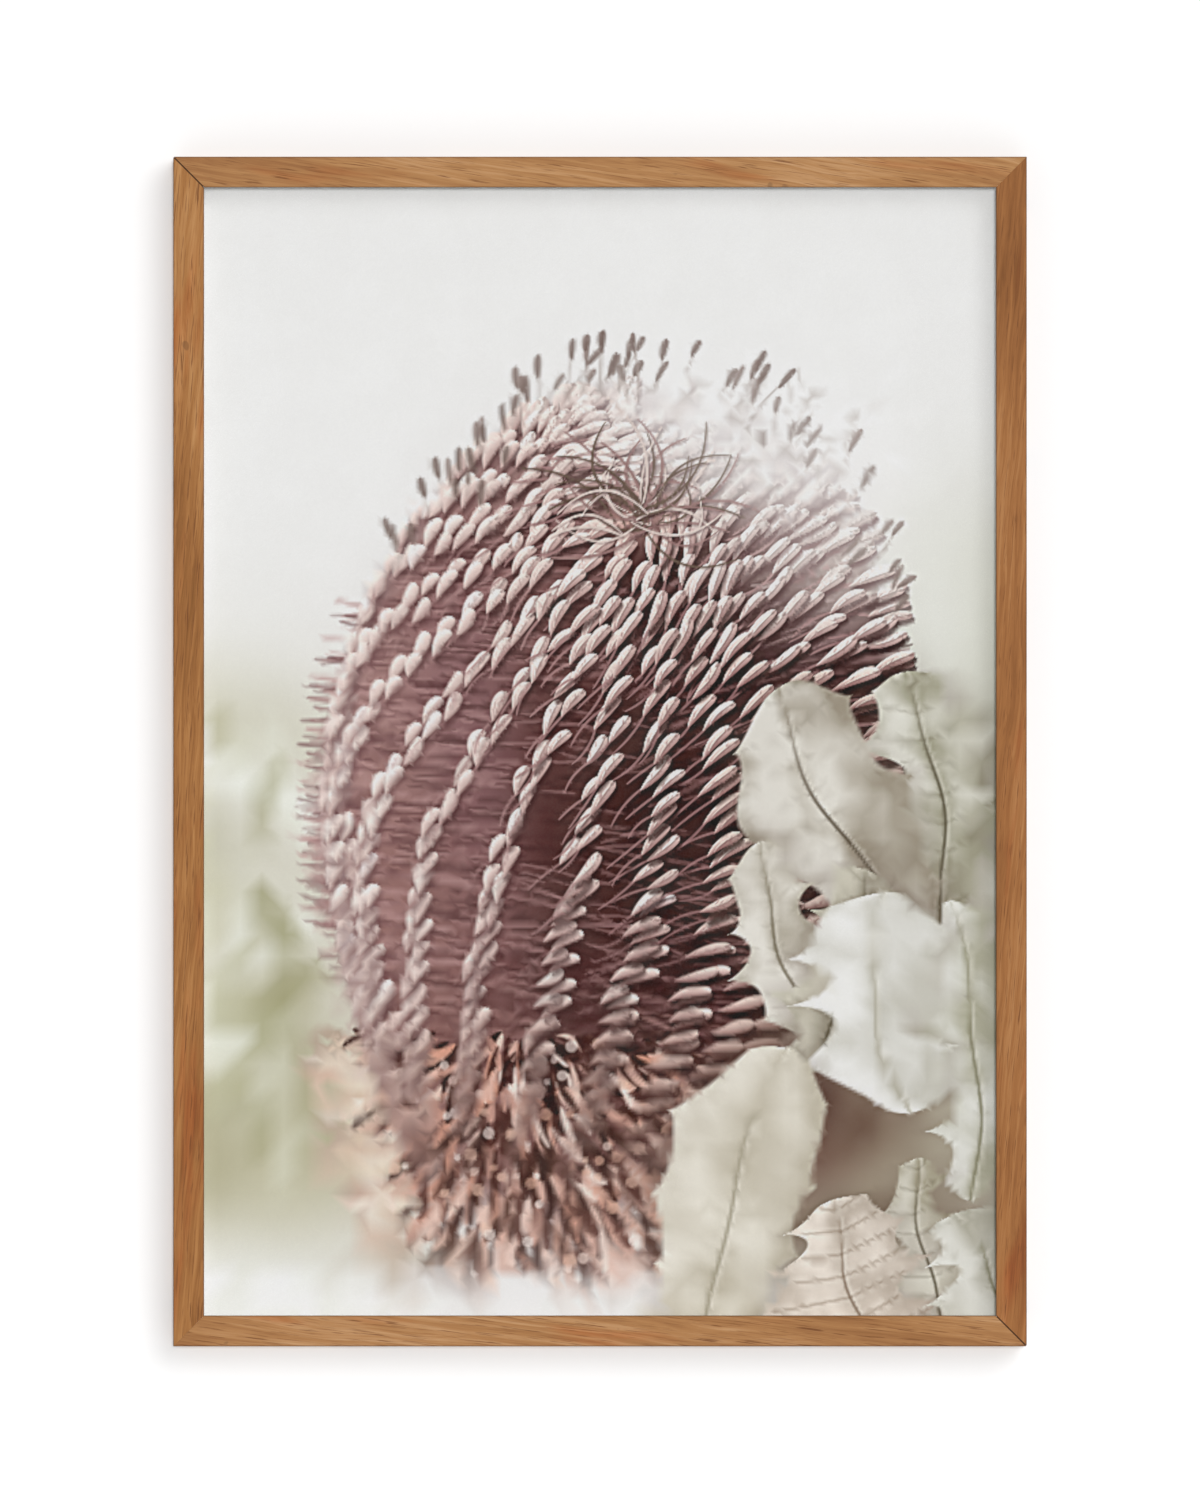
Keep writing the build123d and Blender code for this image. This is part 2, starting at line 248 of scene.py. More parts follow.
# %% Patterns measured in millimetres
RING = 7.0  # spacing of the ring streaks on the face, mm
FIBRE = (60.0, 1.5)  # length and width of the fibre streaks, mm
PORE = (24.0, 0.8)  # real pores are about 0.3 mm wide: drawn coarser, as joined rows, so that they show
TONE = (230.0, 30.0)  # length and width of the warm and pale patches, mm
HEART = (120.0, 18.0)  # length and width of the ruddy patches, mm
FIGURE = (170.0, 26.0)  # length and width of the bends in the rings, mm
BOARD_STEP = Vector((370.0, 110.0, 590.0))  # how far apart in the pattern two boards lie, mm
SAW_WAVE = 2 * pi / 20  # a saw wave of Scale 1 has this period


def in_millimetres(tree, turn=(0.0, 0.0, 0.0), shift=(0.0, 0.0, 0.0)):
    """The piece's own coordinates in millimetres, turned and shifted."""
    place = add(tree, "ShaderNodeTexCoord").outputs["Object"]
    scaled = add(tree, "ShaderNodeMapping", {"Vector": place, "Scale": (1 / MM,) * 3}).outputs[0]
    moved = {"Vector": scaled, "Rotation": turn, "Location": shift}
    return add(tree, "ShaderNodeMapping", moved).outputs[0]


def streaks_of(tree, place, size, detail=3.0, rough=0.55):
    """Noise stretched along X: `size` is the length and width of its streaks."""
    scale = (1 / size[0], 1 / size[1], 1 / size[1])
    squeezed = add(tree, "ShaderNodeMapping", {"Vector": place, "Scale": scale}).outputs[0]
    inputs = {"Vector": squeezed, "Scale": 1.0, "Detail": detail, "Roughness": rough}
    return add(tree, "ShaderNodeTexNoise", inputs).outputs["Fac"]


def span(value, start, end, to_start=0.0, to_end=1.0):
    """What a Map Range node needs: `value` from start to end becomes to_start to to_end."""
    return {"Value": value, "From Min": start, "From Max": end, "To Min": to_start, "To Max": to_end}


SMOOTH = {"interpolation_type": "SMOOTHSTEP"}  # a smooth step, clamped at both ends
print("ring streaks every", RING, "mm, rows of pores", PORE[0], "mm long")


# %% Painted shade at the edges
# Painted shade: the dark brown laid along the arrises and at the two open mitres.
EDGE_SHADE_INK = "4E2F1A"
face_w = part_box("rail_left")[1].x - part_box("rail_left")[0].x


def painted_edge_shade(tree):
    """Painted shade on the wood near its arrises and at the two open mitres, from 0 to 1: darker where edges
    and gaps fall into shade.
    """
    place = add(tree, "ShaderNodeTexCoord").outputs["Object"]
    size = add(tree, "ShaderNodeVectorMath", {0: place}, operation="ABSOLUTE").outputs[0]
    inset = add(tree, "ShaderNodeVectorMath", {0: tuple(high), 1: size}, operation="SUBTRACT").outputs[0]
    axes = add(tree, "ShaderNodeSeparateXYZ", {"Vector": inset}).outputs
    inward = add(tree, "ShaderNodeMath", {0: axes["X"], 1: axes["Z"]}, operation="MINIMUM").outputs[0]
    near_outer = span(inward, 1.1 * MM, 0.2 * MM, 0.0, 0.5)
    near_sight = span(inward, face_w - 1.0 * MM, face_w - 0.2 * MM, 0.0, 0.5)
    off_mitre = add(tree, "ShaderNodeMath", {0: axes["X"], 1: axes["Z"]}, operation="SUBTRACT").outputs[0]
    off_mitre = add(tree, "ShaderNodeMath", {0: off_mitre}, operation="ABSOLUTE").outputs[0]
    at_mitre = span(off_mitre, 1.1 * MM, 0.5 * MM, 0.0, 0.8)
    # Only the top left and bottom right mitres are open: there X and Z have opposite signs.
    at = add(tree, "ShaderNodeSeparateXYZ", {"Vector": place}).outputs
    signs = add(tree, "ShaderNodeMath", {0: at["X"], 1: at["Z"]}, operation="MULTIPLY").outputs[0]
    opened = add(tree, "ShaderNodeMath", {0: signs, 1: 0.0}, operation="LESS_THAN").outputs[0]
    dark = add(tree, "ShaderNodeMapRange", at_mitre, **SMOOTH).outputs[0]
    dark = add(tree, "ShaderNodeMath", {0: dark, 1: opened}, operation="MULTIPLY").outputs[0]
    # Painted shade also runs along the outer arrises and the sight edges.
    for arris in (near_outer, near_sight):
        edge_shade = add(tree, "ShaderNodeMapRange", arris, **SMOOTH).outputs[0]
        dark = add(tree, "ShaderNodeMath", {0: dark, 1: edge_shade}, operation="MAXIMUM").outputs[0]
    return dark


# %% Oak
def oak(name, along, tones, seed, drift):
    """Oiled oak, its grain along an axis and drifting by some degrees. `tones` go from late to early wood."""
    made, tree, shader, _ = material(name, Specular_IOR_Level=0.42)
    turn = (0.0, radians(drift) + (pi / 2 if along == "Z" else 0.0), 0.0)
    board = in_millimetres(tree, turn, tuple(BOARD_STEP * seed))
    figure = streaks_of(tree, board, FIGURE, 2.0)
    bends = {0: figure, 1: (0.0, 9.0, 25.0), 2: board}
    bent = add(tree, "ShaderNodeVectorMath", bends, operation="MULTIPLY_ADD").outputs[0]
    rings = {"Vector": bent, "Scale": SAW_WAVE / RING, "Distortion": 0.0}
    wave = {"wave_type": "BANDS", "bands_direction": "Z", "wave_profile": "SAW"}
    ring = add(tree, "ShaderNodeTexWave", rings, **wave).outputs["Fac"]
    year = ((0.0, "000000"), (0.72, "FFFFFF"), (0.80, "FFFFFF"), (1.0, "000000"))
    late = add(tree, "ShaderNodeValToRGB", {"Fac": ring}, stops=year).outputs["Color"]
    fibre = streaks_of(tree, bent, FIBRE, 4.0, 0.62)
    tone = streaks_of(tree, board, TONE, 2.0)
    pores = streaks_of(tree, board, PORE, 2.0, 0.5)
    parts = (
        span(late, 0.0, 1.0, 0.0, -0.17),
        span(fibre, 0.25, 0.75, -0.18, 0.18),
        span(tone, 0.3, 0.7, -0.22, 0.22),
    )
    value = 0.62  # the tone that rings, fibres and patches then move
    for part in parts:
        step = add(tree, "ShaderNodeMapRange", part, **SMOOTH).outputs[0]
        value = add(tree, "ShaderNodeMath", {0: step, 1: value}, operation="ADD").outputs[0]
    colour = add(tree, "ShaderNodeValToRGB", {"Fac": value}, stops=tones).outputs["Color"]
    heart = span(streaks_of(tree, board, HEART, 2.0), 0.52, 0.74, 0.0, 0.5)
    ruddy = add(tree, "ShaderNodeMapRange", heart, **SMOOTH).outputs[0]
    warm = {0: ruddy, 6: colour, 7: linear("B0703F")}
    colour = add(tree, "ShaderNodeMix", warm, data_type="RGBA", blend_type="SOFT_LIGHT").outputs[2]
    # The pores are open in early wood and filled in late wood. Oil makes them dark.
    open_wood = add(tree, "ShaderNodeMapRange", span(late, 0.9, 0.1, 0.35, 0.85), **SMOOTH).outputs[0]
    pits = add(tree, "ShaderNodeMapRange", span(pores, 0.56, 0.66), **SMOOTH).outputs[0]
    depth = add(tree, "ShaderNodeMath", {0: pits, 1: open_wood}, operation="MULTIPLY").outputs[0]
    # A pin knot or a mineral streak comes to the face here and there.
    rare = {"Vector": board, "Scale": 0.055, "Detail": 1.0}  # blotches of about 18 mm
    specks = add(tree, "ShaderNodeTexNoise", rare).outputs["Fac"]
    fleck = add(tree, "ShaderNodeMapRange", span(specks, 0.76, 0.79, 0.0, 0.35), **SMOOTH).outputs[0]
    # The last of these mixes is painted shade along the arrises and in the open mitres.
    for amount, tint in ((depth, "6B3C16"), (fleck, "3A2212"), (painted_edge_shade(tree), EDGE_SHADE_INK)):
        stain = {0: amount, 6: colour, 7: linear(tint)}
        colour = add(tree, "ShaderNodeMix", stain, data_type="RGBA").outputs[2]
    rough = add(tree, "ShaderNodeMapRange", span(fibre, 0.2, 0.8, 0.45, 0.56), **SMOOTH).outputs[0]
    height = add(tree, "ShaderNodeMath", {0: depth, 1: -2.4, 2: fibre}, operation="MULTIPLY_ADD").outputs[0]
    relief = {"Height": height, "Strength": 0.35, "Distance": 0.06 * MM}
    normal = add(tree, "ShaderNodeBump", relief).outputs["Normal"]
    plug(tree, shader, Base_Color=colour, Roughness=rough, Normal=normal)
    return made


# %% Four boards
LEFT_TONES = ((0.0, "76491A"), (0.32, "905D2C"), (0.62, "A26E3A"), (1.0, "B98855"))
RIGHT_TONES = ((0.0, "724317"), (0.32, "8B5729"), (0.62, "9C6635"), (1.0, "B27F4E"))
TOP_TONES = ((0.0, "84562F"), (0.32, "9A6A3D"), (0.62, "AB7C4C"), (1.0, "C1966B"))
LOW_TONES = ((0.0, "7C5027"), (0.32, "946438"), (0.62, "A57546"), (1.0, "BC9166"))
RAILS = {
    "rail_left": ("Z", LEFT_TONES, 1.0, -4.0),
    "rail_right": ("Z", RIGHT_TONES, 2.3, -5.0),
    "rail_top": ("X", TOP_TONES, 3.1, -9.0),
    "rail_bottom": ("X", LOW_TONES, 4.6, -7.0),
}
for rail, (along, tones, seed, drift) in RAILS.items():
    finish_nodes(oak(f"oiled oak, {rail.split('_')[1]} board", along, tones, seed, drift), rail)
print("oak on", len(RAILS), "rails")

# %% [markdown]
# ## Clear acrylic glazing
# The glazing is a 2 mm cast acrylic sheet, polished on both faces. Almost all light goes straight through,
# and about a twenty-fifth is mirrored at each face, more at a low angle. A Glass shader would stop lamps from
# lighting the print, so a Transparent shader and a mirror are mixed by the Fresnel law instead. A sheet that
# has been wiped has faint dull smears, so the mirror's roughness isn't quite even.

# %% Acrylic
acrylic, tree, shader, output = material("cast acrylic sheet, polished")
tree.nodes.remove(shader)
wiped = streaks_of(tree, in_millimetres(tree, (0.0, radians(35), 0.0)), (160.0, 22.0), 3.0)
smears = add(tree, "ShaderNodeMapRange", span(wiped, 0.35, 0.7, 0.02, 0.06), **SMOOTH).outputs[0]
mirror = add(tree, "ShaderNodeBsdfGlossy", {"Roughness": smears}).outputs[0]
through = add(tree, "ShaderNodeBsdfTransparent", {"Color": (0.992, 0.992, 0.992, 1.0)}).outputs[0]
fresnel = add(tree, "ShaderNodeFresnel", {"IOR": 1.49}).outputs[0]
pane = add(tree, "ShaderNodeMixShader", {"Fac": fresnel, 1: through, 2: mirror})
tree.links.new(pane.outputs[0], output.inputs["Surface"])
finish_nodes(acrylic, "glazing_sheet")
print(acrylic.name, "on glazing_sheet")

# %% [markdown]
# ## The printed picture
# The sheet is an inkjet print on matt cotton paper: one big flower head of a heath shrub, its pale florets
# in curved rows, with stiff toothed leaves beside it and a pale blurred garden behind. The plant is made up
# here. No image is loaded: the picture is painted by rules, as a botanical artist works: first the
# soft ground, then the body of the head, then floret after floret from the back to the front. The canvas is
# an array of colours with a point every millimetre, and it becomes the colours of the sheet's own mesh.

# %% A canvas in millimetres
PATCH = 16  # fine steps along the side of the largest face of the sheet's mesh
FINE = 1.0  # mm, about the distance between two points of the canvas
sheet_low, sheet_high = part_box("print_sheet")
sheet_w, sheet_h = (sheet_high.x - sheet_low.x) / MM, (sheet_high.z - sheet_low.z) / MM
patches = round(sheet_w / (PATCH * FINE)), round(sheet_h / (PATCH * FINE))
across = np.linspace(-sheet_w / 2, sheet_w / 2, patches[0] * PATCH + 1)
upward = np.linspace(-sheet_h / 2, sheet_h / 2, patches[1] * PATCH + 1)
gx, gz = np.meshgrid(across, upward)


def ink(hex_colour):
    """A hex colour as three numbers from 0 to 1, still in sRGB: paints mix there as the eye expects."""
    return np.array([int(hex_colour[i : i + 2], 16) for i in (0, 2, 4)]) / 255


def blend_ink(a, b, t):
    """The colour at t between a and b, with t held between 0 and 1."""
    return a + (b - a) * min(1.0, max(0.0, t))


def share(value, start, end):
    """How far a value has come from start to end, held between 0 and 1."""
    return min(1.0, max(0.0, (value - start) / (end - start)))


PAPER_TINT = "E9E9E8"
canvas = np.empty(gx.shape + (3,))
canvas[:] = ink(PAPER_TINT)
print("canvas points:", gx.shape)


# %% Soft brushes
def blurred(field, spread):
    """A Gaussian blur, `spread` in millimetres, done on the field's spectrum."""
    waves_x, waves_z = np.fft.rfftfreq(field.shape[1], FINE), np.fft.fftfreq(field.shape[0], FINE)
    gain = np.exp(-2 * (pi * spread) ** 2 * (waves_x[None, :] ** 2 + waves_z[:, None] ** 2))
    return np.fft.irfft2(np.fft.rfft2(field) * gain, s=field.shape)


def cloud(spread, seed):
    """Soft random blotches of a size, with mean 0 and spread 1."""
    field = blurred(np.random.default_rng(seed).standard_normal(gx.shape), spread)
    return (field - field.mean()) / field.std()


def lay(mask, tint):
    """Lays a tint over the canvas, as thick as the mask says."""
    canvas[:] += mask[..., None] * (tint - canvas)


def wash(x, z, wide, tall, tint, strength, turn=0.0, edge=1.0, within=1.0):
    """A soft round patch of colour. `turn` is in degrees, `edge` above 1 makes its rim firmer, and `within`
    is a mask that it keeps to."""
    c, s = cos(radians(turn)), sin(radians(turn))
    u = ((gx - x) * c + (gz - z) * s) / wide
    v = ((gz - z) * c - (gx - x) * s) / tall
    lay(strength * np.exp(-((u * u + v * v) ** edge)) * within, ink(tint))


def dot(x, z, size, tint, strength, soft):
    """A small disc of light, as a lens makes it from what is out of focus."""
    lay(strength * np.clip((size - np.hypot(gx - x, gz - z)) / soft + 0.5, 0, 1), ink(tint))


# %% A brush stroke
def stroke(x, z, angle, length, width, tint, shade=None, bend=0.0, blur=0.4, strength=1.0, swell=(0.5, 0.5)):
    """One tapered brush stroke from (x, z). It swells as t**swell[0] * (1 - t)**swell[1] along its length."""
    c, s = cos(angle), sin(angle)
    reach = width + 3 * blur + abs(bend) + 1
    ends = ((x, x + length * c), (z, z + length * s))
    first = [int((min(pair) - reach - line[0]) / FINE) for pair, line in zip(ends, (across, upward))]
    last = [int((max(pair) + reach - line[0]) / FINE) + 2 for pair, line in zip(ends, (across, upward))]
    window = (slice(max(0, first[1]), max(0, last[1])), slice(max(0, first[0]), max(0, last[0])))
    px, pz = gx[window] - x, gz[window] - z
    if px.size == 0:
        return
    # t runs along the stroke and q is t held between 0 and 1. w is how far a point is from its middle line.
    t = (px * c + pz * s) / length
    q = np.clip(t, 0, 1)
    w = pz * c - px * s - bend * 4 * q * (1 - q)
    a, b = swell
    half = width / 2 * (q**a * (1 - q) ** b) / ((a / (a + b)) ** a * (b / (a + b)) ** b)
    over = np.maximum(t - 1, -t) * length
    outside = np.hypot(np.maximum(np.abs(w) - half, 0), np.maximum(over, 0))
    inside = np.where((np.abs(w) < half) & (over <= 0), np.minimum(half - np.abs(w), 2 * blur), 0)
    cover = np.clip(0.5 - (outside - inside) / (2.2 * blur), 0, 1)
    cover = cover * cover * (3 - 2 * cover)
    # A stroke thinner than its blur is also fainter.
    cover = cover * strength * min(1.0, width / (width * 0.35 + 1.4 * blur))
    paint = tint
    if shade is not None:
        side = np.clip(w / (half + 0.6 * blur + 1e-6), -1, 1)
        paint = shade + (tint - shade) * np.clip(0.55 + 0.62 * side + 0.6 * (q - 0.5), 0, 1)[..., None]
    canvas[window] += cover[..., None] * (paint - canvas[window])


# %% The garden behind
GARDEN = (
    # x, z, half width, half height, tint, strength, turn, edge
    (-250, -150, 120, 190, "D4D2C4", 0.85, 0, 1.3),
    (-262, -250, 90, 120, "BFBBA2", 0.80, 20, 1.0),
    (-212, -262, 26, 60, "9C9776", 0.60, 25, 1.2),
    (-280, -300, 22, 46, "A19C7E", 0.55, -15, 1.2),
    (-240, -190, 18, 34, "A8A584", 0.45, 30, 1.2),
    (-235, -292, 70, 60, "B9B596", 0.60, 0, 1.0),
    (-255, 20, 95, 42, "CFCDBB", 0.70, -18, 1.0),
    (-268, -20, 110, 12, "EDEFEB", 0.85, -22, 1.0),
    (-272, -205, 26, 60, "F0F2EF", 0.75, 10, 1.0),
    (-245, -120, 40, 20, "E6E7DF", 0.60, -30, 1.0),
    (-285, -60, 16, 40, "A9A78C", 0.35, 20, 1.0),
    (262, 20, 70, 170, "D2D2C6", 0.95, 0, 1.5),
    (250, 100, 30, 70, "E4E5DF", 0.80, 8, 1.0),
    (272, -20, 26, 60, "B9B8A4", 0.65, -10, 1.0),
    (235, -60, 30, 40, "C6C5B4", 0.70, 0, 1.0),
    (283, 90, 12, 80, "DBDCD3", 0.60, 0, 1.0),
    (200, -300, 140, 120, "B0A892", 0.90, 0, 1.5),
    (225, -215, 60, 50, "C9C8B8", 0.80, 0, 1.0),
)
for patch in GARDEN:
    wash(*patch)


def garden_leaves(count, seed):
    """Leaves far out of focus at the left, olive and pale, that lean every way."""
    r = np.random.default_rng(seed)
    tints = [ink(h) for h in ("8F8C62", "A5A27C", "EEF1EC", "DDDFD0", "C3C1A2", "E7EADF")]
    for _ in range(count):
        x, z, angle = r.uniform(-300, -215), r.uniform(-330, -10), r.uniform(0.15 * pi, 0.85 * pi)
        length, width, bow = r.uniform(40, 95), r.uniform(10, 26), r.uniform(-10, 10)
        tint = tints[r.integers(6)]
        stroke(x, z, angle, length, width, tint, bend=bow, blur=r.uniform(5, 9), strength=0.42)


garden_leaves(34, 17)
print("washes in the garden:", len(GARDEN))

# %% [markdown]
# ### The form of the flower head
# The head is a dome on a column, tipped towards the viewer, with a left shoulder that slopes. Every floret's
# place is worked out on that form, by its distance from the crown and its angle round the axis, and then seen
# from the front. That is what makes the rows close up at the rim and open at the middle, without drawing any
# row by hand.

# %% A dome on a column
TIP_BACK = radians(57)
ROLL = radians(-8.5)
DOME_R = 212.0
CROWN = (24.0, 168.0)
DOME_ARC = DOME_R * pi / 2
COLUMN_TAPER = 0.30  # how much narrower the column gets over COLUMN_DROP
COLUMN_DROP = 430.0
SLOPE = 0.24  # how much narrower the left side gets over SLOPE_RISE
SLOPE_RISE = 300.0
SLOPE_FROM = -60.0
FOCUS = (95, 60)
IN_FOCUS = 125  # what lies this near to it is sharp
SHARPEST = 0.40
SOFTENING = 0.0115  # for every millimetre farther out


def on_head(arc, theta):
    """Where a floret stands: x, z and depth, with the surface's normal and its upward tangent there."""
    if arc < DOME_ARC:
        phi = arc / DOME_R
        out, down = DOME_R * sin(phi), DOME_R * (1 - cos(phi))
        normal_out, normal_along = sin(phi), cos(phi)
    else:
        below = arc - DOME_ARC
        out, down = DOME_R * (1 - COLUMN_TAPER * (below / COLUMN_DROP) ** 1.6), DOME_R + below
        normal_out, normal_along = 1.0, 0.0

    def seen(radial, along):
        """Tips and rolls a vector of the upright head."""
        x = radial * cos(theta)
        y = along * sin(TIP_BACK) - radial * sin(theta) * cos(TIP_BACK)
        z = along * cos(TIP_BACK) + radial * sin(theta) * sin(TIP_BACK)
        return x * cos(ROLL) - z * sin(ROLL), y, x * sin(ROLL) + z * cos(ROLL)

    x, y, z = seen(out, -down)
    if x < 0:
        rise = max(0.0, (CROWN[1] + z - SLOPE_FROM) / SLOPE_RISE)
        x *= 1 - SLOPE * rise**1.2
    normal = seen(normal_out, normal_along)
    upper = seen(-normal_along, normal_out)
    return CROWN[0] + x, CROWN[1] + z, y, normal, upper


print("tip of the head, mm from the middle of the sheet:", on_head(0.0, 0.0)[:2])


def haze(x, z):
    """How soft the focus is, in millimetres: sharp on the right shoulder, softer away from it."""
    aside, above = x - FOCUS[0], z - FOCUS[1]
    from_focus = hypot(aside * (0.45 if aside > 0 else 1.0), above * (0.70 if above > 0 else 0.92))
    return SHARPEST + SOFTENING * max(0.0, from_focus - IN_FOCUS)


def glow(x, z):
    """How far the light from behind washes a place out, from 0 to 1: the right shoulder and the far rim."""
    shoulder = share(z, 55, 135) * share(x, 40, 130)
    rim = share(z, 185, 245) * share(x, -60, 40)
    return max(shoulder, rim)


# %% The body of the head, between its florets
def body_outline():
    """A mask of the form, firm at the top and soft at the foot."""
    seen = []
    for theta in np.linspace(0, 2 * pi, 240):
        for arc in np.linspace(5, 900, 160):
            x, z, _, normal, _ = on_head(arc, theta)
            if normal[1] > -0.05:
                seen.append((x, z))
    seen = np.array(seen)
    mask = np.zeros_like(gx)
    for row, height in enumerate(upward):
        level = seen[np.abs(seen[:, 1] - height) < 4]
        if len(level) > 2 and height > -400:
            mask[row] = (across > level[:, 0].min() + 9) & (across < level[:, 0].max() - 9)
    low_down = np.clip((-gz - 200) / 150, 0, 1)
    soft = blurred(mask, 5.0) * (1 - low_down) + blurred(mask, 20.0) * low_down
    # Against the light the far rim is thin.
    soft *= 1 - 0.85 * np.exp(-((((gx - 125) / 125) ** 2 + ((gz - 262) / 68) ** 2) ** 1.2))
    return np.clip(soft, 0, 1)


def body_tint():
    """Mauve on the lit left, dark plum on the right, warmer at the foot and paler at the crown."""
    side = np.clip((gx + 215) / 430, 0, 1)[..., None]
    height = np.clip((gz + 380) / 660, 0, 1)[..., None]
    lit, middle, dim = ink("A47E78"), ink("785250"), ink("523230")
    to_middle = lit + (middle - lit) * side / 0.42
    tint = np.where(side < 0.42, to_middle, middle + (dim - middle) * (side - 0.42) / 0.58)
    tint = tint + (ink("8F6A62") - tint) * np.clip((0.30 - height) / 0.30, 0, 1) * 0.8
    return tint + (ink("B9A19C") - tint) * np.clip((height - 0.74) / 0.26, 0, 1) * 0.8


outline = body_outline()
lay(outline * 0.98, body_tint())
HOLLOWS = (
    # the same columns as in GARDEN
    (-90, -10, 46, 130, "86626A", 0.50, 12, 1.0),
    (-100, 75, 60, 60, "987376", 0.45, 20, 1.0),
    (-30, -80, 36, 150, "4A2A28", 0.70, 6, 1.0),
    (40, -80, 48, 160, "321814", 0.80, 4, 1.0),
    (115, -50, 60, 130, "301612", 0.80, 6, 1.0),
    (120, 90, 80, 56, "482E34", 0.60, -15, 1.0),
    (60, 128, 44, 24, "321612", 0.78, 10, 1.0),
    (185, 150, 52, 66, "C4B6B0", 0.88, -20, 1.2),
    (-165, 60, 40, 120, "A98A86", 0.45, 8, 1.2),
    (30, -190, 90, 44, "4A2A2C", 0.60, 0, 1.2),
)
for patch in HOLLOWS:
    wash(*patch, outline)
print("head covers", round(100 * float(outline.mean())), "% of the sheet")


# %% Stalks inside the head
def stalks(count, seed):
    """Fine lines from the axis out to the tips, soft where they are out of focus."""
    r = np.random.default_rng(seed)
    for _ in range(count):
        x, z, _, normal, upper = on_head(r.uniform(50, 640), r.uniform(-pi, 0.0))
        sway, length, width = r.normal(0, 0.08), r.uniform(24, 58), r.uniform(1.8, 3.6)
        bow, pick = r.uniform(-2, 2), r.random()
        if normal[1] < 0.05:
            continue
        if normal[0] < 0.05:
            angle = pi + 0.10 * normal[2] + sway - 0.08
        else:
            angle = atan2(normal[2] * 0.4 + 0.30 * upper[2] + sway, normal[0] + 0.35)
        right, foot = share(x, -215, 85), (-z - 150) / 170
        if pick < 0.55 - 0.30 * right:
            tint = blend_ink(blend_ink(ink("C29E9B"), ink("8E6A6A"), right), ink("B98D7C"), foot * 0.8)
            tint = blend_ink(tint, ink("DACDC8"), 0.9 * glow(x, z))
        else:
            tint = blend_ink(blend_ink(ink("7E5A5C"), ink("2A1210"), right), ink("6B473D"), foot * 0.8)
            tint = blend_ink(tint, ink("A8928C"), 0.9 * glow(x, z))
        x, z = x - length * 0.5 * cos(angle), z - length * 0.5 * sin(angle)
        soft = max(0.6, haze(x, z) * 0.7)
        stroke(x, z, angle, length, width, tint, bend=bow, blur=soft, strength=0.5, swell=(0.3, 0.3))


STALKS = 1900
stalks(STALKS, 5)
print("stalks:", STALKS)


# %% The foot of the head
FOOT_TOP = -205
FOOT_END = -395
OLD_FLORETS = 1150
PALE_STRANDS = 60
FOOT_LIGHTS = 80
GROUND_LIGHTS = 26


def foot_rim(deep):
    """The left edge of the foot, where `deep` goes from 0 at its top to 1 at its end."""
    return -182 + 50 * deep**1.5


def old_florets(seed):
    """Old florets in brown and dusty pink, far out of focus, and the pale ground that they fade into."""
    r = np.random.default_rng(seed)
    dim = [ink(h) for h in ("200C0A", "43221D", "30150F")]
    pale = [ink(h) for h in ("C69A88", "F0D3C5", "E0B9AA", "FBEBE1", "C99C8D", "D8A08A")]
    for _ in range(OLD_FLORETS):
        x, z = r.uniform(-200, 95), r.uniform(FOOT_END, FOOT_TOP)
        deep = share(z, FOOT_TOP, FOOT_END)
        left_edge, right_edge = foot_rim(deep), 98 - 38 * deep
        angle = atan2(0.75 * (z + 130), (x + 60) * 1.5) + r.normal(0, 0.28)
        tint = dim[r.integers(3)] if r.random() < 0.62 * (1 - 0.3 * deep) else pale[r.integers(6)]
        length, width, bow = r.uniform(16, 36), r.uniform(3.8, 7.4), r.uniform(-4, 4)
        if x < left_edge - 18 or x > right_edge + 8:
            continue
        if x < left_edge + 14:
            tint = blend_ink(tint, ink("D9CBB8"), 0.8)
        tint = blend_ink(tint, ink("D2B4AB"), 0.34 * deep)
        soft = 1.5 + 2.6 * deep
        stroke(x, z, angle, length, width, tint, bend=bow, blur=soft, strength=0.92, swell=(0.5, 0.35))
    for _ in range(PALE_STRANDS):
        x, z = r.uniform(-195, 10), r.uniform(-335, -225)
        left_edge = foot_rim(share(z, FOOT_TOP, FOOT_END))
        angle, length = pi + r.uniform(0, 0.7), r.uniform(18, 42)
        width, bow = r.uniform(5, 9), r.uniform(-3, 3)
        tint = [ink(h) for h in ("E7DCCB", "D9C9B4", "EDE4DA", "CFAE9F")][r.integers(4)]
        x = left_edge + 0.15 * (x - left_edge)
        stroke(x, z, angle, length, width, tint, bend=bow, blur=3.2, strength=0.6, swell=(0.3, 0.5))
    for _ in range(FOOT_LIGHTS):
        x, z, size = r.uniform(-180, 60), r.uniform(FOOT_END, -215), r.uniform(2.2, 5.0)
        dot(x, z, size, ("F0DACF", "E8C4B0", "F8EEE8", "DDB39E")[r.integers(4)], 0.6, 1.8)
    wash(-80, -415, 330, 30, "E9EAE8", 0.80, 0, 1.4)
    wash(-235, -400, 70, 34, "E8E9E4", 0.70, -8, 1.2)
    wash(-150, -378, 46, 16, "BDB5A4", 0.50, 10)
    for _ in range(GROUND_LIGHTS):
        dot(r.uniform(-297, 110), r.uniform(-418, -385), r.uniform(8, 17), "F1F3F3", 0.5, 5.0)


old_florets(21)
print("old florets:", OLD_FLORETS)


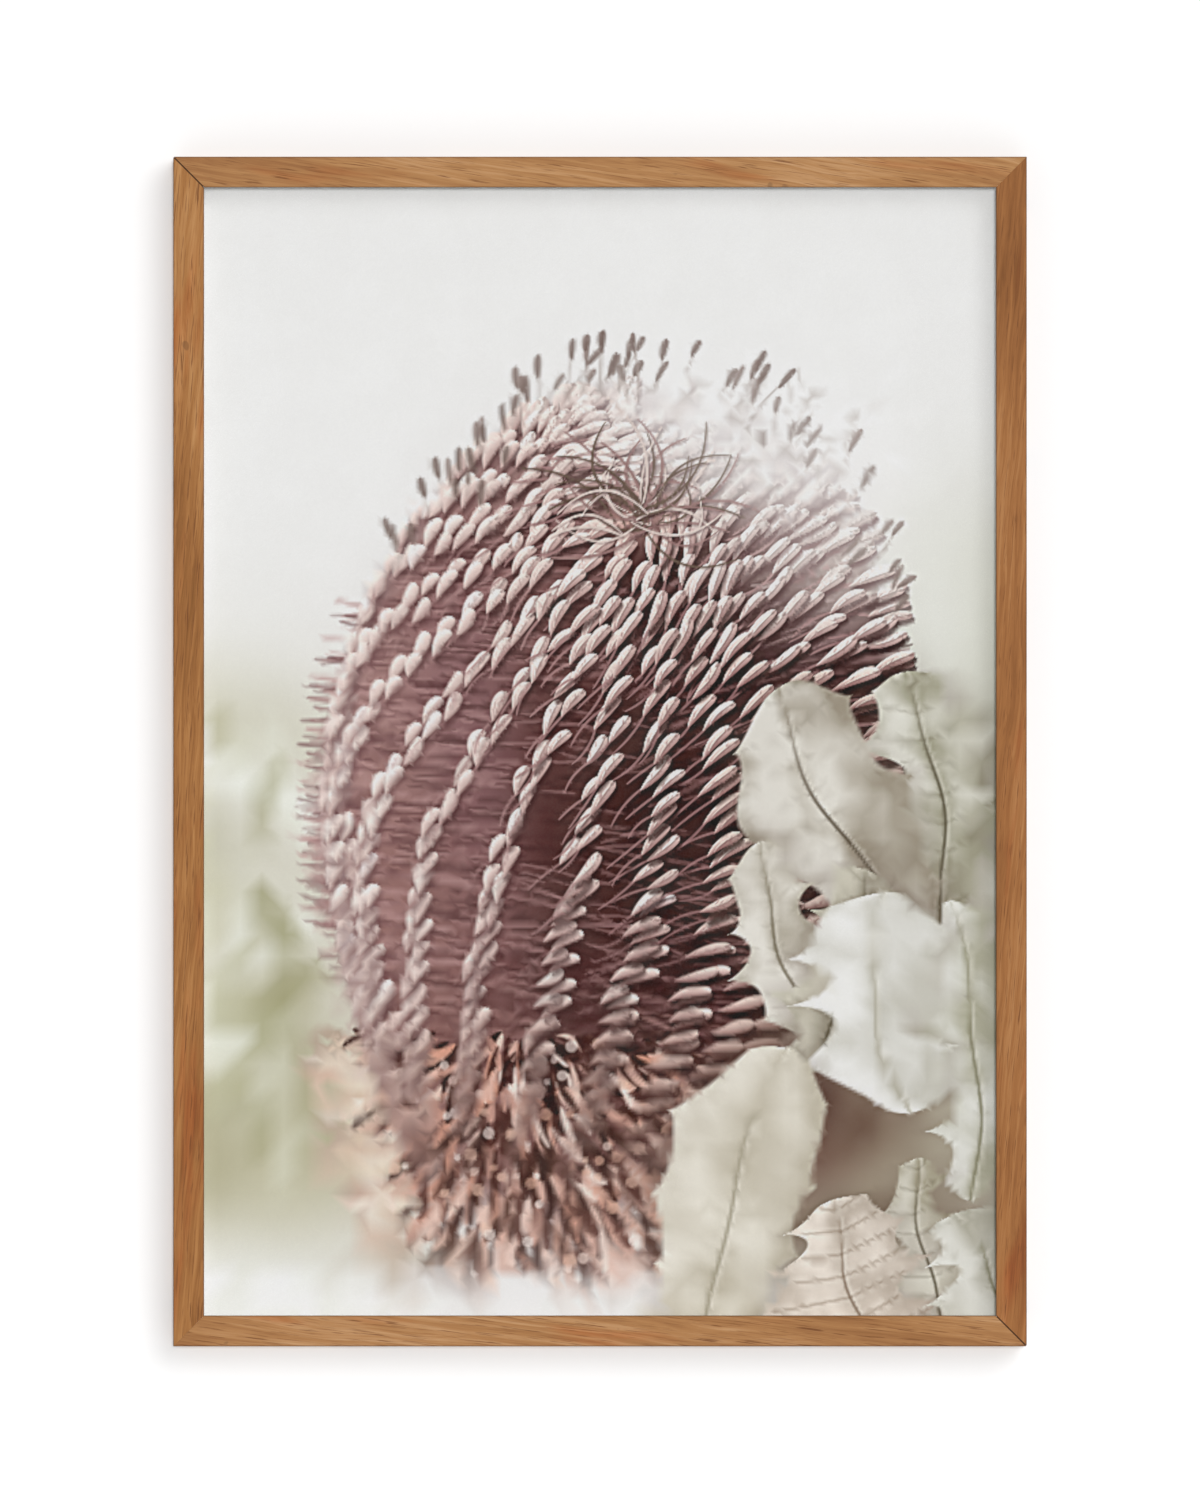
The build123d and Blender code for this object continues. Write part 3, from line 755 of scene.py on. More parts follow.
# %% One floret
def floret(x, z, angle, length, width, blur, plum, pale, shade, strength, r):
    """A pale club on a thin stalk, with its shadow below. `plum` is how dark its surroundings are."""
    bend = r.uniform(0.8, 3.0) * (1 if r.random() < 0.8 else -0.5)
    c, s = cos(angle), sin(angle)
    dark = blend_ink(ink("6B4A4C"), ink("1C0A08"), plum)
    foot, shift = (x - 0.5 * length * c, z - 0.5 * length * s), 0.3 * width + 1.2
    cast = (0.5 + 0.22 * plum) * strength
    club_shadow = {"bend": bend, "blur": blur + 1.3, "strength": cast, "swell": (0.6, 0.4)}
    stroke(foot[0] + 1.2, foot[1] - shift, angle, length * 1.02, width * 1.15, dark, **club_shadow)
    back, reach, bow = angle + pi + r.uniform(-0.30, 0.10), length * r.uniform(0.8, 1.3), r.uniform(-3, 3)
    x1, z1 = x - 0.44 * length * c, z - 0.44 * length * s
    stalk_shadow = {"blur": blur + 0.5, "strength": 0.45 * plum * strength, "swell": (0.15, 0.25)}
    stroke(x1 + 0.8, z1 - 1.2, back, reach, 2.2, ink("2A1516"), **stalk_shadow)
    stalk = blend_ink(ink("BA9A97"), ink("967070"), plum)
    thin = {"bend": bow, "blur": blur + 0.1, "strength": 0.8 * strength, "swell": (0.12, 0.25)}
    stroke(x1, z1, back, reach, 1.9, stalk, **thin)
    club = np.clip(pale * (1 + 0.05 * r.standard_normal()), 0, 1)
    stroke(*foot, angle, length, width, club, shade, bend, blur, 0.98 * strength, (0.75, 0.34))
    if blur < 1.2:
        # In focus the club shows a lit ridge, a furrow beside it, a few hairs and a dark tip.
        x2, z2 = x - 0.3 * length * c, z - 0.3 * length * s
        lit, furrow = bend * 0.8 + 0.06 * width, bend * 0.9 - 0.10 * width
        ridge = np.clip(club * 1.06, 0, 1)
        stroke(x2, z2, angle, length * 0.72, width * 0.2, ridge, None, lit, blur, 0.6, (0.4, 0.4))
        stroke(x2, z2, angle, length * 0.78, width * 0.15, shade * 0.85, None, furrow, blur, 0.55, (0.4, 0.4))
        x2, z2 = x + 0.38 * length * c, z + 0.38 * length * s
        stroke(x2, z2, angle, length * 0.14, width * 0.3, shade * 0.8, blur=blur, strength=0.5)
        for _ in range(3):
            along, beside = r.uniform(-0.36, 0.30) * length, r.uniform(-0.24, 0.24) * width
            hair_x, hair_z = x + along * c - beside * s, z + along * s + beside * c
            stroke(hair_x, hair_z, angle + 0.5, width * 0.5, 0.9, shade, blur=0.4, strength=0.5)


# %% Florets in rows
COLUMNS = 23
ROWS = 32
ROW_STEP = 21.0  # from row to row at the crown
ROW_GROWTH = 0.5
TWIST = -0.0002  # of the columns round the axis, in radians a millimetre


def places(seed):
    """Pairs of florets in columns round the axis, from the back to the front. Rows widen towards the foot."""
    r = np.random.default_rng(seed)
    found = []
    for column in range(COLUMNS):
        for step in range(ROWS):
            along = step + 0.5 * (column % 2)
            arc = 20 + ROW_STEP * along + ROW_GROWTH * along**2
            crowded = (arc < 75 and column % 2) or (arc < 40 and column % 4)
            around = max(DOME_R * sin(min(arc / DOME_R, pi / 2)), 60)
            theta = 2 * pi * column / COLUMNS + 0.10 + TWIST * arc
            for pair in (0, 1):
                at_arc = arc + 9.5 * pair + r.normal(0, 2.0)
                at_theta = theta + (8.0 * pair + r.normal(0, 2.2)) / around
                x, z, depth, normal, upper = on_head(at_arc, at_theta)
                picks = r.random(2)
                if normal[1] > -0.12 and z > -330 and not crowded:
                    found.append((depth + 4 * pair, x, z, normal, upper, at_arc, picks))
    return sorted(found, key=lambda place: place[0])


def all_florets(seed):
    """Paints every floret, from the back to the front, and returns how many there are."""
    r = np.random.default_rng(seed)
    standing = places(seed)
    for _, x, z, normal, upper, arc, (pick_a, pick_b) in standing:
        blur = haze(x, z)
        grip = 0.60 if z > -120 else 0.42
        dx = (0.95 if normal[0] > 0 else 0.10) * normal[0] + grip * upper[0] + 0.40
        dz = 0.5 * normal[2] * (1 if normal[2] > 0 else 0.15) + grip * upper[2] + 0.08
        if normal[0] < -0.2:
            dx, dz = dx * 0.45 + 0.05, dz * 0.8 + 0.22
        angle = atan2(dz, dx) + 0.22 * (pick_a - 0.5)
        plum, foot = share(x, -190, 110), share(z, -175, -285)
        against_light = glow(x, z)
        length = (20 + 14 * plum) * (0.85 + 0.3 * pick_b) * (0.80 + 0.20 * min(1.0, hypot(dx, dz)))
        length *= min(1.0, 0.75 + 0.25 * arc / 70) * (1 - 0.20 * foot)
        width = (9.8 - 1.8 * plum) * (0.9 + 0.2 * pick_a) * (1 + 0.1 * foot)
        pale = blend_ink(blend_ink(ink("FDF1EB"), ink("F3DED5"), plum), ink("E6CDC0"), foot * 0.8)
        shade = blend_ink(blend_ink(ink("CDB7B0"), ink("946C6A"), plum), ink("94705F"), foot * 0.7)
        pale = blend_ink(pale, ink("F0EAE6"), against_light * 0.85)
        shade = blend_ink(shade, ink("BFAEA8"), against_light * 0.85)
        plum *= (1 - 0.82 * against_light) * (1 - 0.2 * foot)
        fade = 1 - share(z, -215, -325)
        floret(x, z, angle, length, width, blur * (1 + 0.8 * foot), plum, pale, shade, fade, r)
    return len(standing)


print("florets:", all_florets(3))


# %% The crown
TUFTS = 90
STANDING_CLUBS = 64
CURLED_STYLES = 58


def crown(seed):
    """Fluff against the light, clubs that stand up behind the rim, and curled styles at the tip."""
    r = np.random.default_rng(seed)
    wash(120, 238, 108, 44, "E9E9E9", 0.80, -12, 1.4)
    wash(80, 204, 60, 28, "E4DFDC", 0.60, -10)
    wash(CROWN[0] + 6, CROWN[1] + 6, 26, 16, "CDA59A", 0.7, 15)
    for _ in range(TUFTS):
        x, z, angle, length = r.normal(125, 55), r.normal(228, 24), r.uniform(-0.6, 1.9), r.uniform(14, 40)
        tint = ink("F2F2F1") if r.random() < 0.55 else ink("B6AEA8")
        width, bow = r.uniform(1.5, 3.5), r.uniform(-6, 6)
        stroke(x, z, angle, length, width, tint, bend=bow, blur=1.5, strength=0.55, swell=(0.3, 0.3))
    for _ in range(STANDING_CLUBS):
        x, z, _, normal, _ = on_head(r.uniform(150, 300), r.uniform(0.02 * pi, 0.98 * pi))
        length = r.uniform(12, 44) if x > -60 else r.uniform(6, 16)
        angle = pi / 2 - 0.5 * normal[0] + r.normal(0, 0.22) - 0.12
        tint = blend_ink(ink("8E7A74"), ink("6B5B55"), r.random())
        picks = r.random(5)
        if normal[1] > 0.75:
            continue
        blur = 0.9 + picks[0] if x > -40 else 2.2
        stem, bow = blend_ink(ink("B9AFA9"), tint, 0.4), 6 * picks[1] - 3
        stroke(x, z, angle, length, 1.8, stem, bend=bow, blur=blur, strength=0.75, swell=(0.1, 0.2))
        x, z = x + (length - 4) * cos(angle), z + (length - 4) * sin(angle)
        club, shade = blend_ink(tint, ink("A89892"), 0.3), ink("6A5852")
        angle, length, width = angle + 0.2 * picks[2] - 0.1, 12 + 8 * picks[3], 4 + 2 * picks[4]
        stroke(x, z, angle, length, width, club, shade, 0.5, blur, 0.85, (0.6, 0.4))
    for _ in range(CURLED_STYLES):
        angle, length = r.uniform(-0.15 * pi, 1.12 * pi), r.uniform(32, 84)
        bend, pick = r.uniform(5, 20), r.random()
        bend *= 1 if r.random() < 0.5 else -1
        tint = ink("6E5C50") if pick < 0.35 else ink("9B7B78") if pick < 0.7 else ink("D8C9C2")
        x, z = CROWN[0] + r.normal(4, 9), CROWN[1] + r.normal(4, 6)
        thread = {"bend": bend, "swell": (0.1, 0.15)}
        stroke(x + 1, z - 1.2, angle, length, 2.4, ink("4A3234"), blur=1.0, strength=0.25, **thread)
        stroke(x, z, angle, length, r.uniform(1.5, 2.4), tint, blur=0.5, strength=0.85, **thread)


crown(8)
# Light from behind spills over the right shoulder and the far rim.
wash(165, 170, 78, 66, "EFEDEB", 0.34, -28, 1.2)
wash(105, 240, 120, 46, "EDECEB", 0.34, -14, 1.2)
print("crown:", TUFTS, "tufts,", STANDING_CLUBS, "clubs,", CURLED_STYLES, "styles")

# %% [markdown]
# ### The leaves
# The leaves are stiff and leathery, with a few spiny teeth a side. A leaf is measured along its midrib and
# across it: its half width is a swelling curve that is bitten in between the teeth. One half takes the light,
# the other is in shade, and blotches, a dark midrib and faint side veins go on top.


# %% One leaf
def leaf(foot, tip, width, bow, light, dark, rib, teeth, bite, blur, veins, seed):
    """A leaf from foot to tip. `bow` bends its midrib, `teeth` and `bite` shape its margin."""
    x0, z0 = foot
    length, angle = hypot(tip[0] - x0, tip[1] - z0), atan2(tip[1] - z0, tip[0] - x0)
    c, s = cos(angle), sin(angle)
    # As in a stroke, t and q run along the midrib and w is how far a point is from it.
    t = ((gx - x0) * c + (gz - z0) * s) / length
    q = np.clip(t, 1e-4, 1 - 1e-4)
    w = (gz - z0) * c - (gx - x0) * s - bow * 4 * q * (1 - q) + 2.5 * np.sin(11 * q + seed)
    r = np.random.default_rng(seed)
    sides = []
    for side in (0, 1):
        # Uneven teeth: their spacing is warped by a slow wave.
        count = np.mod(q * teeth + 0.16 * np.sin(6 * q + r.uniform(0, 6)) + r.uniform(0, 1), 1.0)
        depth = bite * (0.7 + 0.6 * np.sin(5 * q + r.uniform(0, 6)) ** 2)
        sides.append(1.12 - depth * 1.25 * np.sin(pi * count) ** 0.55)
    half = width / 2 * q**0.42 * (1 - q) ** 0.36 / 0.582 * np.where(w > 0, sides[0], sides[1])
    half *= 1 + 0.10 * np.sin(q * 7 + seed) + 0.05 * np.sin(q * 19 + 2 * seed)
    over = np.maximum(t - 1, -t) * length
    gap = np.where(over > 0, np.hypot(np.maximum(np.abs(w) - half, 0), over), np.abs(w) - half)
    cover = np.clip(0.5 - gap / (2.4 * blur), 0, 1)
    lay(0.20 * np.exp(-((np.clip(gap + 1, 0, None) / 15.0) ** 2)) * (1 - cover), ink("6A5A50"))
    near = w / np.maximum(half, 1)
    blotches = 0.26 * cloud(11.0, seed + 60) + 0.10 * cloud(3.5, seed + 40)
    # Each side is lit along its ridge and falls away to the rib and to the margin.
    ridge = 0.5 * np.sin(pi * np.clip(np.abs(near), 0, 1)) - 0.25
    tone = np.clip(0.50 + 0.38 * near + ridge + blotches, 0, 1)[..., None]
    lay(cover, ink(dark) + (ink(light) - ink(dark)) * tone)
    comb = np.abs(np.mod(q * 9 - 0.45 * np.abs(near), 1.0) - 0.5)
    lay(cover * np.clip((0.09 - comb) / 0.07, 0, 1) * (np.abs(near) < 0.9) * veins, ink(rib))
    lay(cover * np.clip((0.12 - np.abs(comb - 0.16)) / 0.1, 0, 1) * veins * 0.5, ink("F7F5EF"))
    on_rib = np.clip(1.3 - np.abs(w) / (0.9 + 0.5 * blur), 0, 1) * np.clip((1 - q) * 2.2, 0, 1)
    lay(cover * on_rib * 0.7, ink(rib))
    lay(cover * np.clip(1 - np.abs(w + 2.4) / (1.6 + 0.5 * blur), 0, 1) * 0.3, ink("F0EEE6"))
    lay(cover * np.clip(1 - np.abs(gap + 1.4) / (1.0 + 0.5 * blur), 0, 1) * 0.13, ink("F4F2EC"))


# %% All the leaves, from the back to the front
POCKETS = (
    # the same columns as in GARDEN
    (150, -262, 52, 66, "68493F", 0.95, 10, 1.6),
    (205, -262, 40, 50, "7F6C5C", 0.75, -10, 1.4),
    (128, -300, 26, 40, "8D6A62", 0.60, 0, 1.0),
    (190, -345, 70, 22, "7E6C5C", 0.80, 10, 1.4),
    (162, -252, 15, 24, "4E332C", 0.60, 25, 1.0),
    (194, -276, 12, 20, "5C4238", 0.50, -20, 1.0),
    (214, -250, 10, 16, "B9A79A", 0.45, 15, 1.0),
)
for patch in POCKETS:
    wash(*patch)
LEAVES = (
    # foot, tip, width, bow of the midrib, light side, dark side, rib, teeth a side, bite, blur, veins
    ((290, -230), (262, 30), 95, 10, "DCDBD1", "A9A792", "8F8E78", 5, 0.38, 2.6, 0.06),
    ((250, -128), (222, 58), 98, -14, "DFDED5", "A3A08C", "5F5846", 4, 0.46, 1.1, 0.14),
    ((238, -125), (130, 46), 126, 18, "DFDCD4", "9F9686", "574C3E", 3, 0.30, 1.6, 0.08),
    ((275, -330), (258, -110), 84, -10, "E0E0DA", "B2B09D", "8A876F", 5, 0.44, 1.2, 0.08),
    ((170, -215), (120, -66), 72, 14, "E4E1D9", "B0A99A", "776F5C", 4, 0.36, 1.2, 0.09),
    ((150, -235), (198, -88), 90, -12, "CDC9BA", "979180", "5F5846", 4, 0.44, 1.2, 0.12),
    ((226, -266), (208, -104), 122, 16, "EBEBE9", "C6C4BA", "B3AFA0", 4, 0.40, 2.2, 0.03),
    ((76, -470), (135, -218), 104, 12, "E4E0D5", "C0B9A8", "9F9885", 5, 0.16, 1.8, 0.05),
    ((262, -440), (232, -300), 66, 8, "D6D3C7", "A29B86", "5F5846", 4, 0.50, 0.8, 0.16),
    ((215, -468), (172, -330), 116, 8, "EAE1D7", "BDB1A4", "83705F", 5, 0.34, 0.7, 0.28),
    ((310, -450), (262, -340), 98, -6, "DDDCD5", "B3B0A2", "8A866F", 4, 0.40, 1.2, 0.10),
)
for seed, shape in enumerate(LEAVES, 2):
    leaf(*shape, seed)
print("leaves:", len(LEAVES))

# %% [markdown]
# ### Sharpening
# A printer sharpens a picture for its size, and here it also makes up for the mesh, which softens whatever is
# smaller than its faces. What a small blur takes away is what gets stronger.

# %% Sharpen
SHARPEN_OVER = 1.6
SHARPEN_BY = 0.75
soft_copy = np.stack([blurred(canvas[..., i], SHARPEN_OVER) for i in range(3)], axis=2)
canvas += SHARPEN_BY * (canvas - soft_copy)
np.clip(canvas, 0.0, 1.0, out=canvas)
print("mean tint of the picture:", canvas.mean(axis=(0, 1)).round(2))

# %% [markdown]
# ### From the canvas to the sheet's own mesh
# A vertex for every point of the canvas would be half a million, most of them on plain paper. So the sheet
# is divided as a quadtree: a face splits in four where its corners alone can't tell the picture, and stays
# large where they can. Neighbours differ by one level at most, and the point in the middle of a long side is
# a corner of the large face too, so the mesh has no gaps. The colours go on the vertices as an attribute.

# %% Where the picture needs small faces
STRAY_LIMIT = 0.2  # as fine as the sheet can be with fewer than 200,000 triangles
LEVELS = 4
across_n, up_n = (n * PATCH for n in patches)
tones = canvas @ np.array((0.35, 0.45, 0.20))


def pooled(cells, by):
    """Joins 2 x 2 cells into one, with `by` as np.max, np.sum or np.any."""
    rows, columns = cells.shape
    return by(cells.reshape(rows // 2, 2, columns // 2, 2), axis=(1, 3))


def misses():
    """For each level, how far the picture in a face strays from what its corners give."""
    found = {}
    for level in range(1, LEVELS + 1):
        size = 2**level
        corners = tones[::size, ::size]
        expected = (corners[1:, 1:] + corners[:-1, 1:] + corners[1:, :-1] + corners[:-1, :-1]) / 4
        middle = tones[size // 2 :: size, size // 2 :: size]
        low_side = np.abs(tones[::size, size // 2 :: size] - (corners[:, 1:] + corners[:, :-1]) / 2)
        left_side = np.abs(tones[size // 2 :: size, ::size] - (corners[1:, :] + corners[:-1, :]) / 2)
        stray = np.abs(middle - expected)
        stray += (low_side[1:] + low_side[:-1] + left_side[:, 1:] + left_side[:, :-1]) / 2
        found[level] = stray if level == 1 else np.maximum(stray, pooled(found[level - 1], np.max))
    return found


def divided(limit, stray):
    """For each level, which faces split, with neighbours at most one level apart."""
    splits = {}
    for level in range(1, LEVELS + 1):
        split = stray[level] > limit
        if level > 1:
            finer = splits[level - 1].copy()
            finer[1:] |= splits[level - 1][:-1]
            finer[:-1] |= splits[level - 1][1:]
            finer[:, 1:] |= splits[level - 1][:, :-1]
            finer[:, :-1] |= splits[level - 1][:, 1:]
            split |= pooled(finer, np.any)
        splits[level] = split
    return splits


# %% The faces of the front
def front_faces(splits):
    """Faces of the front as lists of canvas points, numbered along the rows."""
    corner = np.zeros(gx.shape, bool)
    squares = []
    for level in range(LEVELS, -1, -1):
        size = 2**level
        wanted = np.ones((up_n // size, across_n // size), bool)
        if level < LEVELS:
            wanted = np.kron(splits[level + 1], np.ones((2, 2), bool))
        if level > 0:
            wanted = wanted & ~splits[level]
        for row, column in zip(*np.nonzero(wanted)):
            z0, x0 = int(row) * size, int(column) * size
            squares.append((z0, x0, size))
            corner[z0 : z0 + size + 1 : size, x0 : x0 + size + 1 : size] = True
    stride = gx.shape[1]
    faces = []
    for z0, x0, size in squares:
        half = size // 2
        ring = [(z0, x0), (z0, x0 + half), (z0, x0 + size), (z0 + half, x0 + size)]
        ring += [(z0 + size, x0 + size), (z0 + size, x0 + half), (z0 + size, x0), (z0 + half, x0)]
        if size == 1:
            ring = [(z0, x0), (z0, x0 + 1), (z0 + 1, x0 + 1), (z0 + 1, x0)]
        kept = [at for i, at in enumerate(ring) if size == 1 or i % 2 == 0 or corner[at]]
        faces.append([z * stride + x for z, x in kept])
    return faces


front = front_faces(divided(STRAY_LIMIT, misses()))
print("front faces:", len(front), "triangles:", sum(len(face) - 2 for face in front))


# %% The sheet: painted front, edges and plain back
PROOF_GAIN = 1.162
GLAZING_VEIL = 0.016
BARE_PAPER = "F4F4F2"


def print_mesh(faces):
    """A closed thin sheet. Its back has only the largest faces, and its edges join the two."""
    stride = gx.shape[1]
    used = sorted({point for face in faces for point in face})
    at = {point: i for i, point in enumerate(used)}
    rows, columns = np.divmod(np.array(used), stride)
    points = [(across[c] * MM, sheet_low.y, upward[r] * MM) for r, c in zip(rows, columns)]
    tints = canvas[rows, columns]
    solid = [[at[point] for point in face] for face in faces]
    behind = {}
    for row in range(0, up_n + 1, PATCH):
        for column in range(0, across_n + 1, PATCH):
            behind[row, column] = len(points)
            points.append((across[column] * MM, sheet_high.y, upward[row] * MM))
    for row in range(0, up_n, PATCH):
        for column in range(0, across_n, PATCH):
            after, beside = row + PATCH, column + PATCH
            square = ((row, column), (after, column), (after, beside), (row, beside))
            solid.append([behind[corner] for corner in square])

    def edge(start, step, count):
        """One edge of the sheet: at each stretch the front's points, back along the back's two corners."""
        for i in range(count):
            a = (start[0] + i * PATCH * step[0], start[1] + i * PATCH * step[1])
            b = (a[0] + PATCH * step[0], a[1] + PATCH * step[1])
            line = [(a[0] + k * step[0]) * stride + a[1] + k * step[1] for k in range(PATCH + 1)]
            solid.append([behind[a], behind[b]] + [at[point] for point in reversed(line) if point in at])

    edge((0, 0), (0, 1), patches[0])
    edge((0, across_n), (1, 0), patches[1])
    edge((up_n, across_n), (0, -1), patches[0])
    edge((up_n, 0), (-1, 0), patches[1])
    mesh = bpy.data.meshes.new("printed_sheet")
    mesh.from_pydata(points, [], solid)
    plain = np.tile(ink(BARE_PAPER), (len(points) - len(used), 1))
    srgb = np.clip(np.vstack((tints, plain)), 0, 1)
    as_light = np.where(srgb <= 0.04045, srgb / 12.92, ((srgb + 0.055) / 1.055) ** 2.4)
    # Glazing takes some light and lays a faint veil of its own over the dark tones, so the print is proofed
    # stronger than it is meant to look.
    as_light = np.clip(as_light * PROOF_GAIN - GLAZING_VEIL, 0.002, 0.95)
    inks = mesh.attributes.new("ink", "FLOAT_COLOR", "POINT")
    rgba = np.hstack((as_light, np.ones((len(points), 1))))
    inks.data.foreach_set("color", rgba.astype(np.float32).ravel())
    return mesh


# %% Helpers for pieces
def new_piece(name, mesh, made, body, replaced):
    """Puts a finished mesh in the scene as a piece of the object."""
    mesh.materials.clear()
    mesh.materials.append(made)
    piece = in_scene(name, mesh)
    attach(piece, body)
    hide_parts(*replaced)
    return piece


def mesh_of(shape, name):
    """A mesh from a bmesh, which is freed."""
    mesh = bpy.data.meshes.new(name)
    shape.to_mesh(mesh)
    shape.free()
    return mesh


def finished_mesh(carrier, *helpers):
    """The plain mesh that an object's modifiers give. The object and its helpers are removed."""
    seen = carrier.evaluated_get(bpy.context.evaluated_depsgraph_get())
    mesh = bpy.data.meshes.new_from_object(seen)
    for used_up in (carrier, *helpers):
        bpy.data.objects.remove(used_up)
    return mesh


# %% [markdown]
# ### Matt cotton paper under the ink
# The paper is soft and slightly toothed. Bare, it is warm white; where ink lies on it, the tooth fills and
# the sheet is a little less rough. Its tooth is about 0.4 mm across, drawn as 1 mm so that it shows at all.

# %% Cotton paper
cotton, tree, shader, _ = material("matt cotton paper, inkjet printed", Specular_IOR_Level=0.25)
inks = add(tree, "ShaderNodeAttribute", attribute_name="ink").outputs["Color"]
place = in_millimetres(tree)
tooth = add(tree, "ShaderNodeTexNoise", {"Vector": place, "Scale": 1.0, "Detail": 3.0}).outputs["Fac"]
mottle = add(tree, "ShaderNodeTexNoise", {"Vector": place, "Scale": 0.03, "Detail": 2.0}).outputs["Fac"]
colour = inks
stains = ((span(tooth, 0.3, 0.7, 0.0, 0.05), "8A8680"), (span(mottle, 0.35, 0.65, 0.0, 0.03), "B9B2A6"))
for spots, tint in stains:
    amount = add(tree, "ShaderNodeMapRange", spots, **SMOOTH).outputs[0]
    stained = {0: amount, 6: colour, 7: linear(tint)}
    colour = add(tree, "ShaderNodeMix", stained, data_type="RGBA").outputs[2]
lightness = add(tree, "ShaderNodeRGBToBW", {"Color": inks}).outputs[0]
rough = add(tree, "ShaderNodeMapRange", span(lightness, 0.02, 0.6, 0.72, 0.88), **SMOOTH).outputs[0]
relief = {"Height": tooth, "Strength": 0.25, "Distance": 0.05 * MM}
normal = add(tree, "ShaderNodeBump", relief).outputs["Normal"]
plug(tree, shader, Base_Color=colour, Roughness=rough, Normal=normal)
print_piece = new_piece("printed_sheet", print_mesh(front), cotton, "frame", ["print_sheet"])
print("printed sheet faces:", len(print_piece.data.polygons))

# %% [markdown]
# ## Spacers, hinges, mount board and backing
# Four strips of white foamed board keep the glazing off the print. Gummed paper hinges hang the print from
# its mount board, and a sheet of fibreboard closes the back. They are flat, so their looks are all in the
# surface: sawn edges, fibres and pressing marks. One function makes such a board from two noises: its
# blotches and its fibres, each with a size in millimetres.


# %% Boards and papers
def board(name, base, blotch, fleck, blotch_size, fleck_size, rough, relief, fleck_share):
    """A pressed sheet: base colour, wide blotches, and short flecks that lie every way."""
    made, tree, shader, _ = material(name, Roughness=rough, Specular_IOR_Level=0.3)
    place = in_millimetres(tree)
    wide = {"Vector": place, "Scale": 1 / blotch_size, "Detail": 3.0}
    patchy = add(tree, "ShaderNodeTexNoise", wide).outputs["Fac"]
    blotches = add(tree, "ShaderNodeMapRange", span(patchy, 0.35, 0.65), **SMOOTH).outputs[0]
    first = {0: blotches, 6: linear(base), 7: linear(blotch)}
    colour = add(tree, "ShaderNodeMix", first, data_type="RGBA").outputs[2]
    heights = []
    for angle in (20, 80, 140):
        turned = in_millimetres(tree, (0.0, radians(angle), 0.0), (7.0 * angle, 0.0, 0.0))
        fibres = streaks_of(tree, turned, fleck_size, 2.0)
        strong = span(fibres, 0.60, 0.70, 0.0, fleck_share)
        flecks = add(tree, "ShaderNodeMapRange", strong, **SMOOTH).outputs[0]
        laid = {0: flecks, 6: colour, 7: linear(fleck)}
        colour = add(tree, "ShaderNodeMix", laid, data_type="RGBA").outputs[2]
        heights.append(fibres)
    bump = {"Height": heights[0], "Strength": relief, "Distance": 0.1 * MM}
    plug(tree, shader, Base_Color=colour, Normal=add(tree, "ShaderNodeBump", bump).outputs["Normal"])
    return made


BOARDS = (
    # name, base, blotch, fleck, blotch size, fleck size, roughness, relief, share of flecks; then its nodes
    ("fibreboard, pressed and sanded", "A98159", "A0784F", "C2A078", 90.0, (3.0, 0.4), 0.75, 0.25, 0.35),
    ("cotton museum board", "EDEDE9", "E6E5DF", "DAD8D0", 90.0, (4.0, 0.7), 0.9, 0.2, 0.3),
    ("gummed paper tape", "EFEBDD", "E2DCC8", "CFC6AC", 14.0, (6.0, 0.5), 0.7, 0.3, 0.5),
    ("foamed board, white, sawn", "F1F1F0", "E9E9E7", "DCDCDA", 20.0, (1.5, 0.8), 0.8, 0.3, 0.35),
)
spacers = tuple(f"spacer_{side}" for side in ("top", "bottom", "left", "right"))
for look, nodes in zip(BOARDS, (("backing_board",), ("mount_board",), ("print_hinge_tapes",), spacers)):
    finish_nodes(board(*look), *nodes)
    print(look[0], "on", len(nodes), "pieces")

# %% [markdown]
# ## Glue in the open mitres
# Two corners have opened to a hairline. Such a gap lies in shade, so the glue line in it is coloured near
# black: painted shade that reads as a thin dark line. It is a flat strip that fills the gap behind the face
# of the timber: one plate a corner, built at 45 degrees.

# %% Glue lines
GLUE_T = 0.44 * MM  # just thinner than the half-millimetre gap
GLUE_SETBACK = 0.5 * MM
GLUE_MARGIN = 0.6 * MM
glue, tree, shader, _ = material("glue, painted near black for the shade in the gap", Specular_IOR_Level=0.3)
crumbs = streaks_of(tree, in_millimetres(tree, (0.0, radians(45), 0.0)), (4.0, 0.6), 3.0)
# Painted shade: near-black browns that stand for the shade in the gap, over the glue's own crumbly texture.
glue_and_shade_tints = ((0.35, "1C100A"), (0.6, "2E1B10"), (0.8, "4A2F1D"))
colour = add(tree, "ShaderNodeValToRGB", {"Fac": crumbs}, stops=glue_and_shade_tints).outputs["Color"]
rough = add(tree, "ShaderNodeMapRange", span(crumbs, 0.3, 0.7, 0.6, 0.85), **SMOOTH).outputs[0]
plug(tree, shader, Base_Color=colour, Roughness=rough)


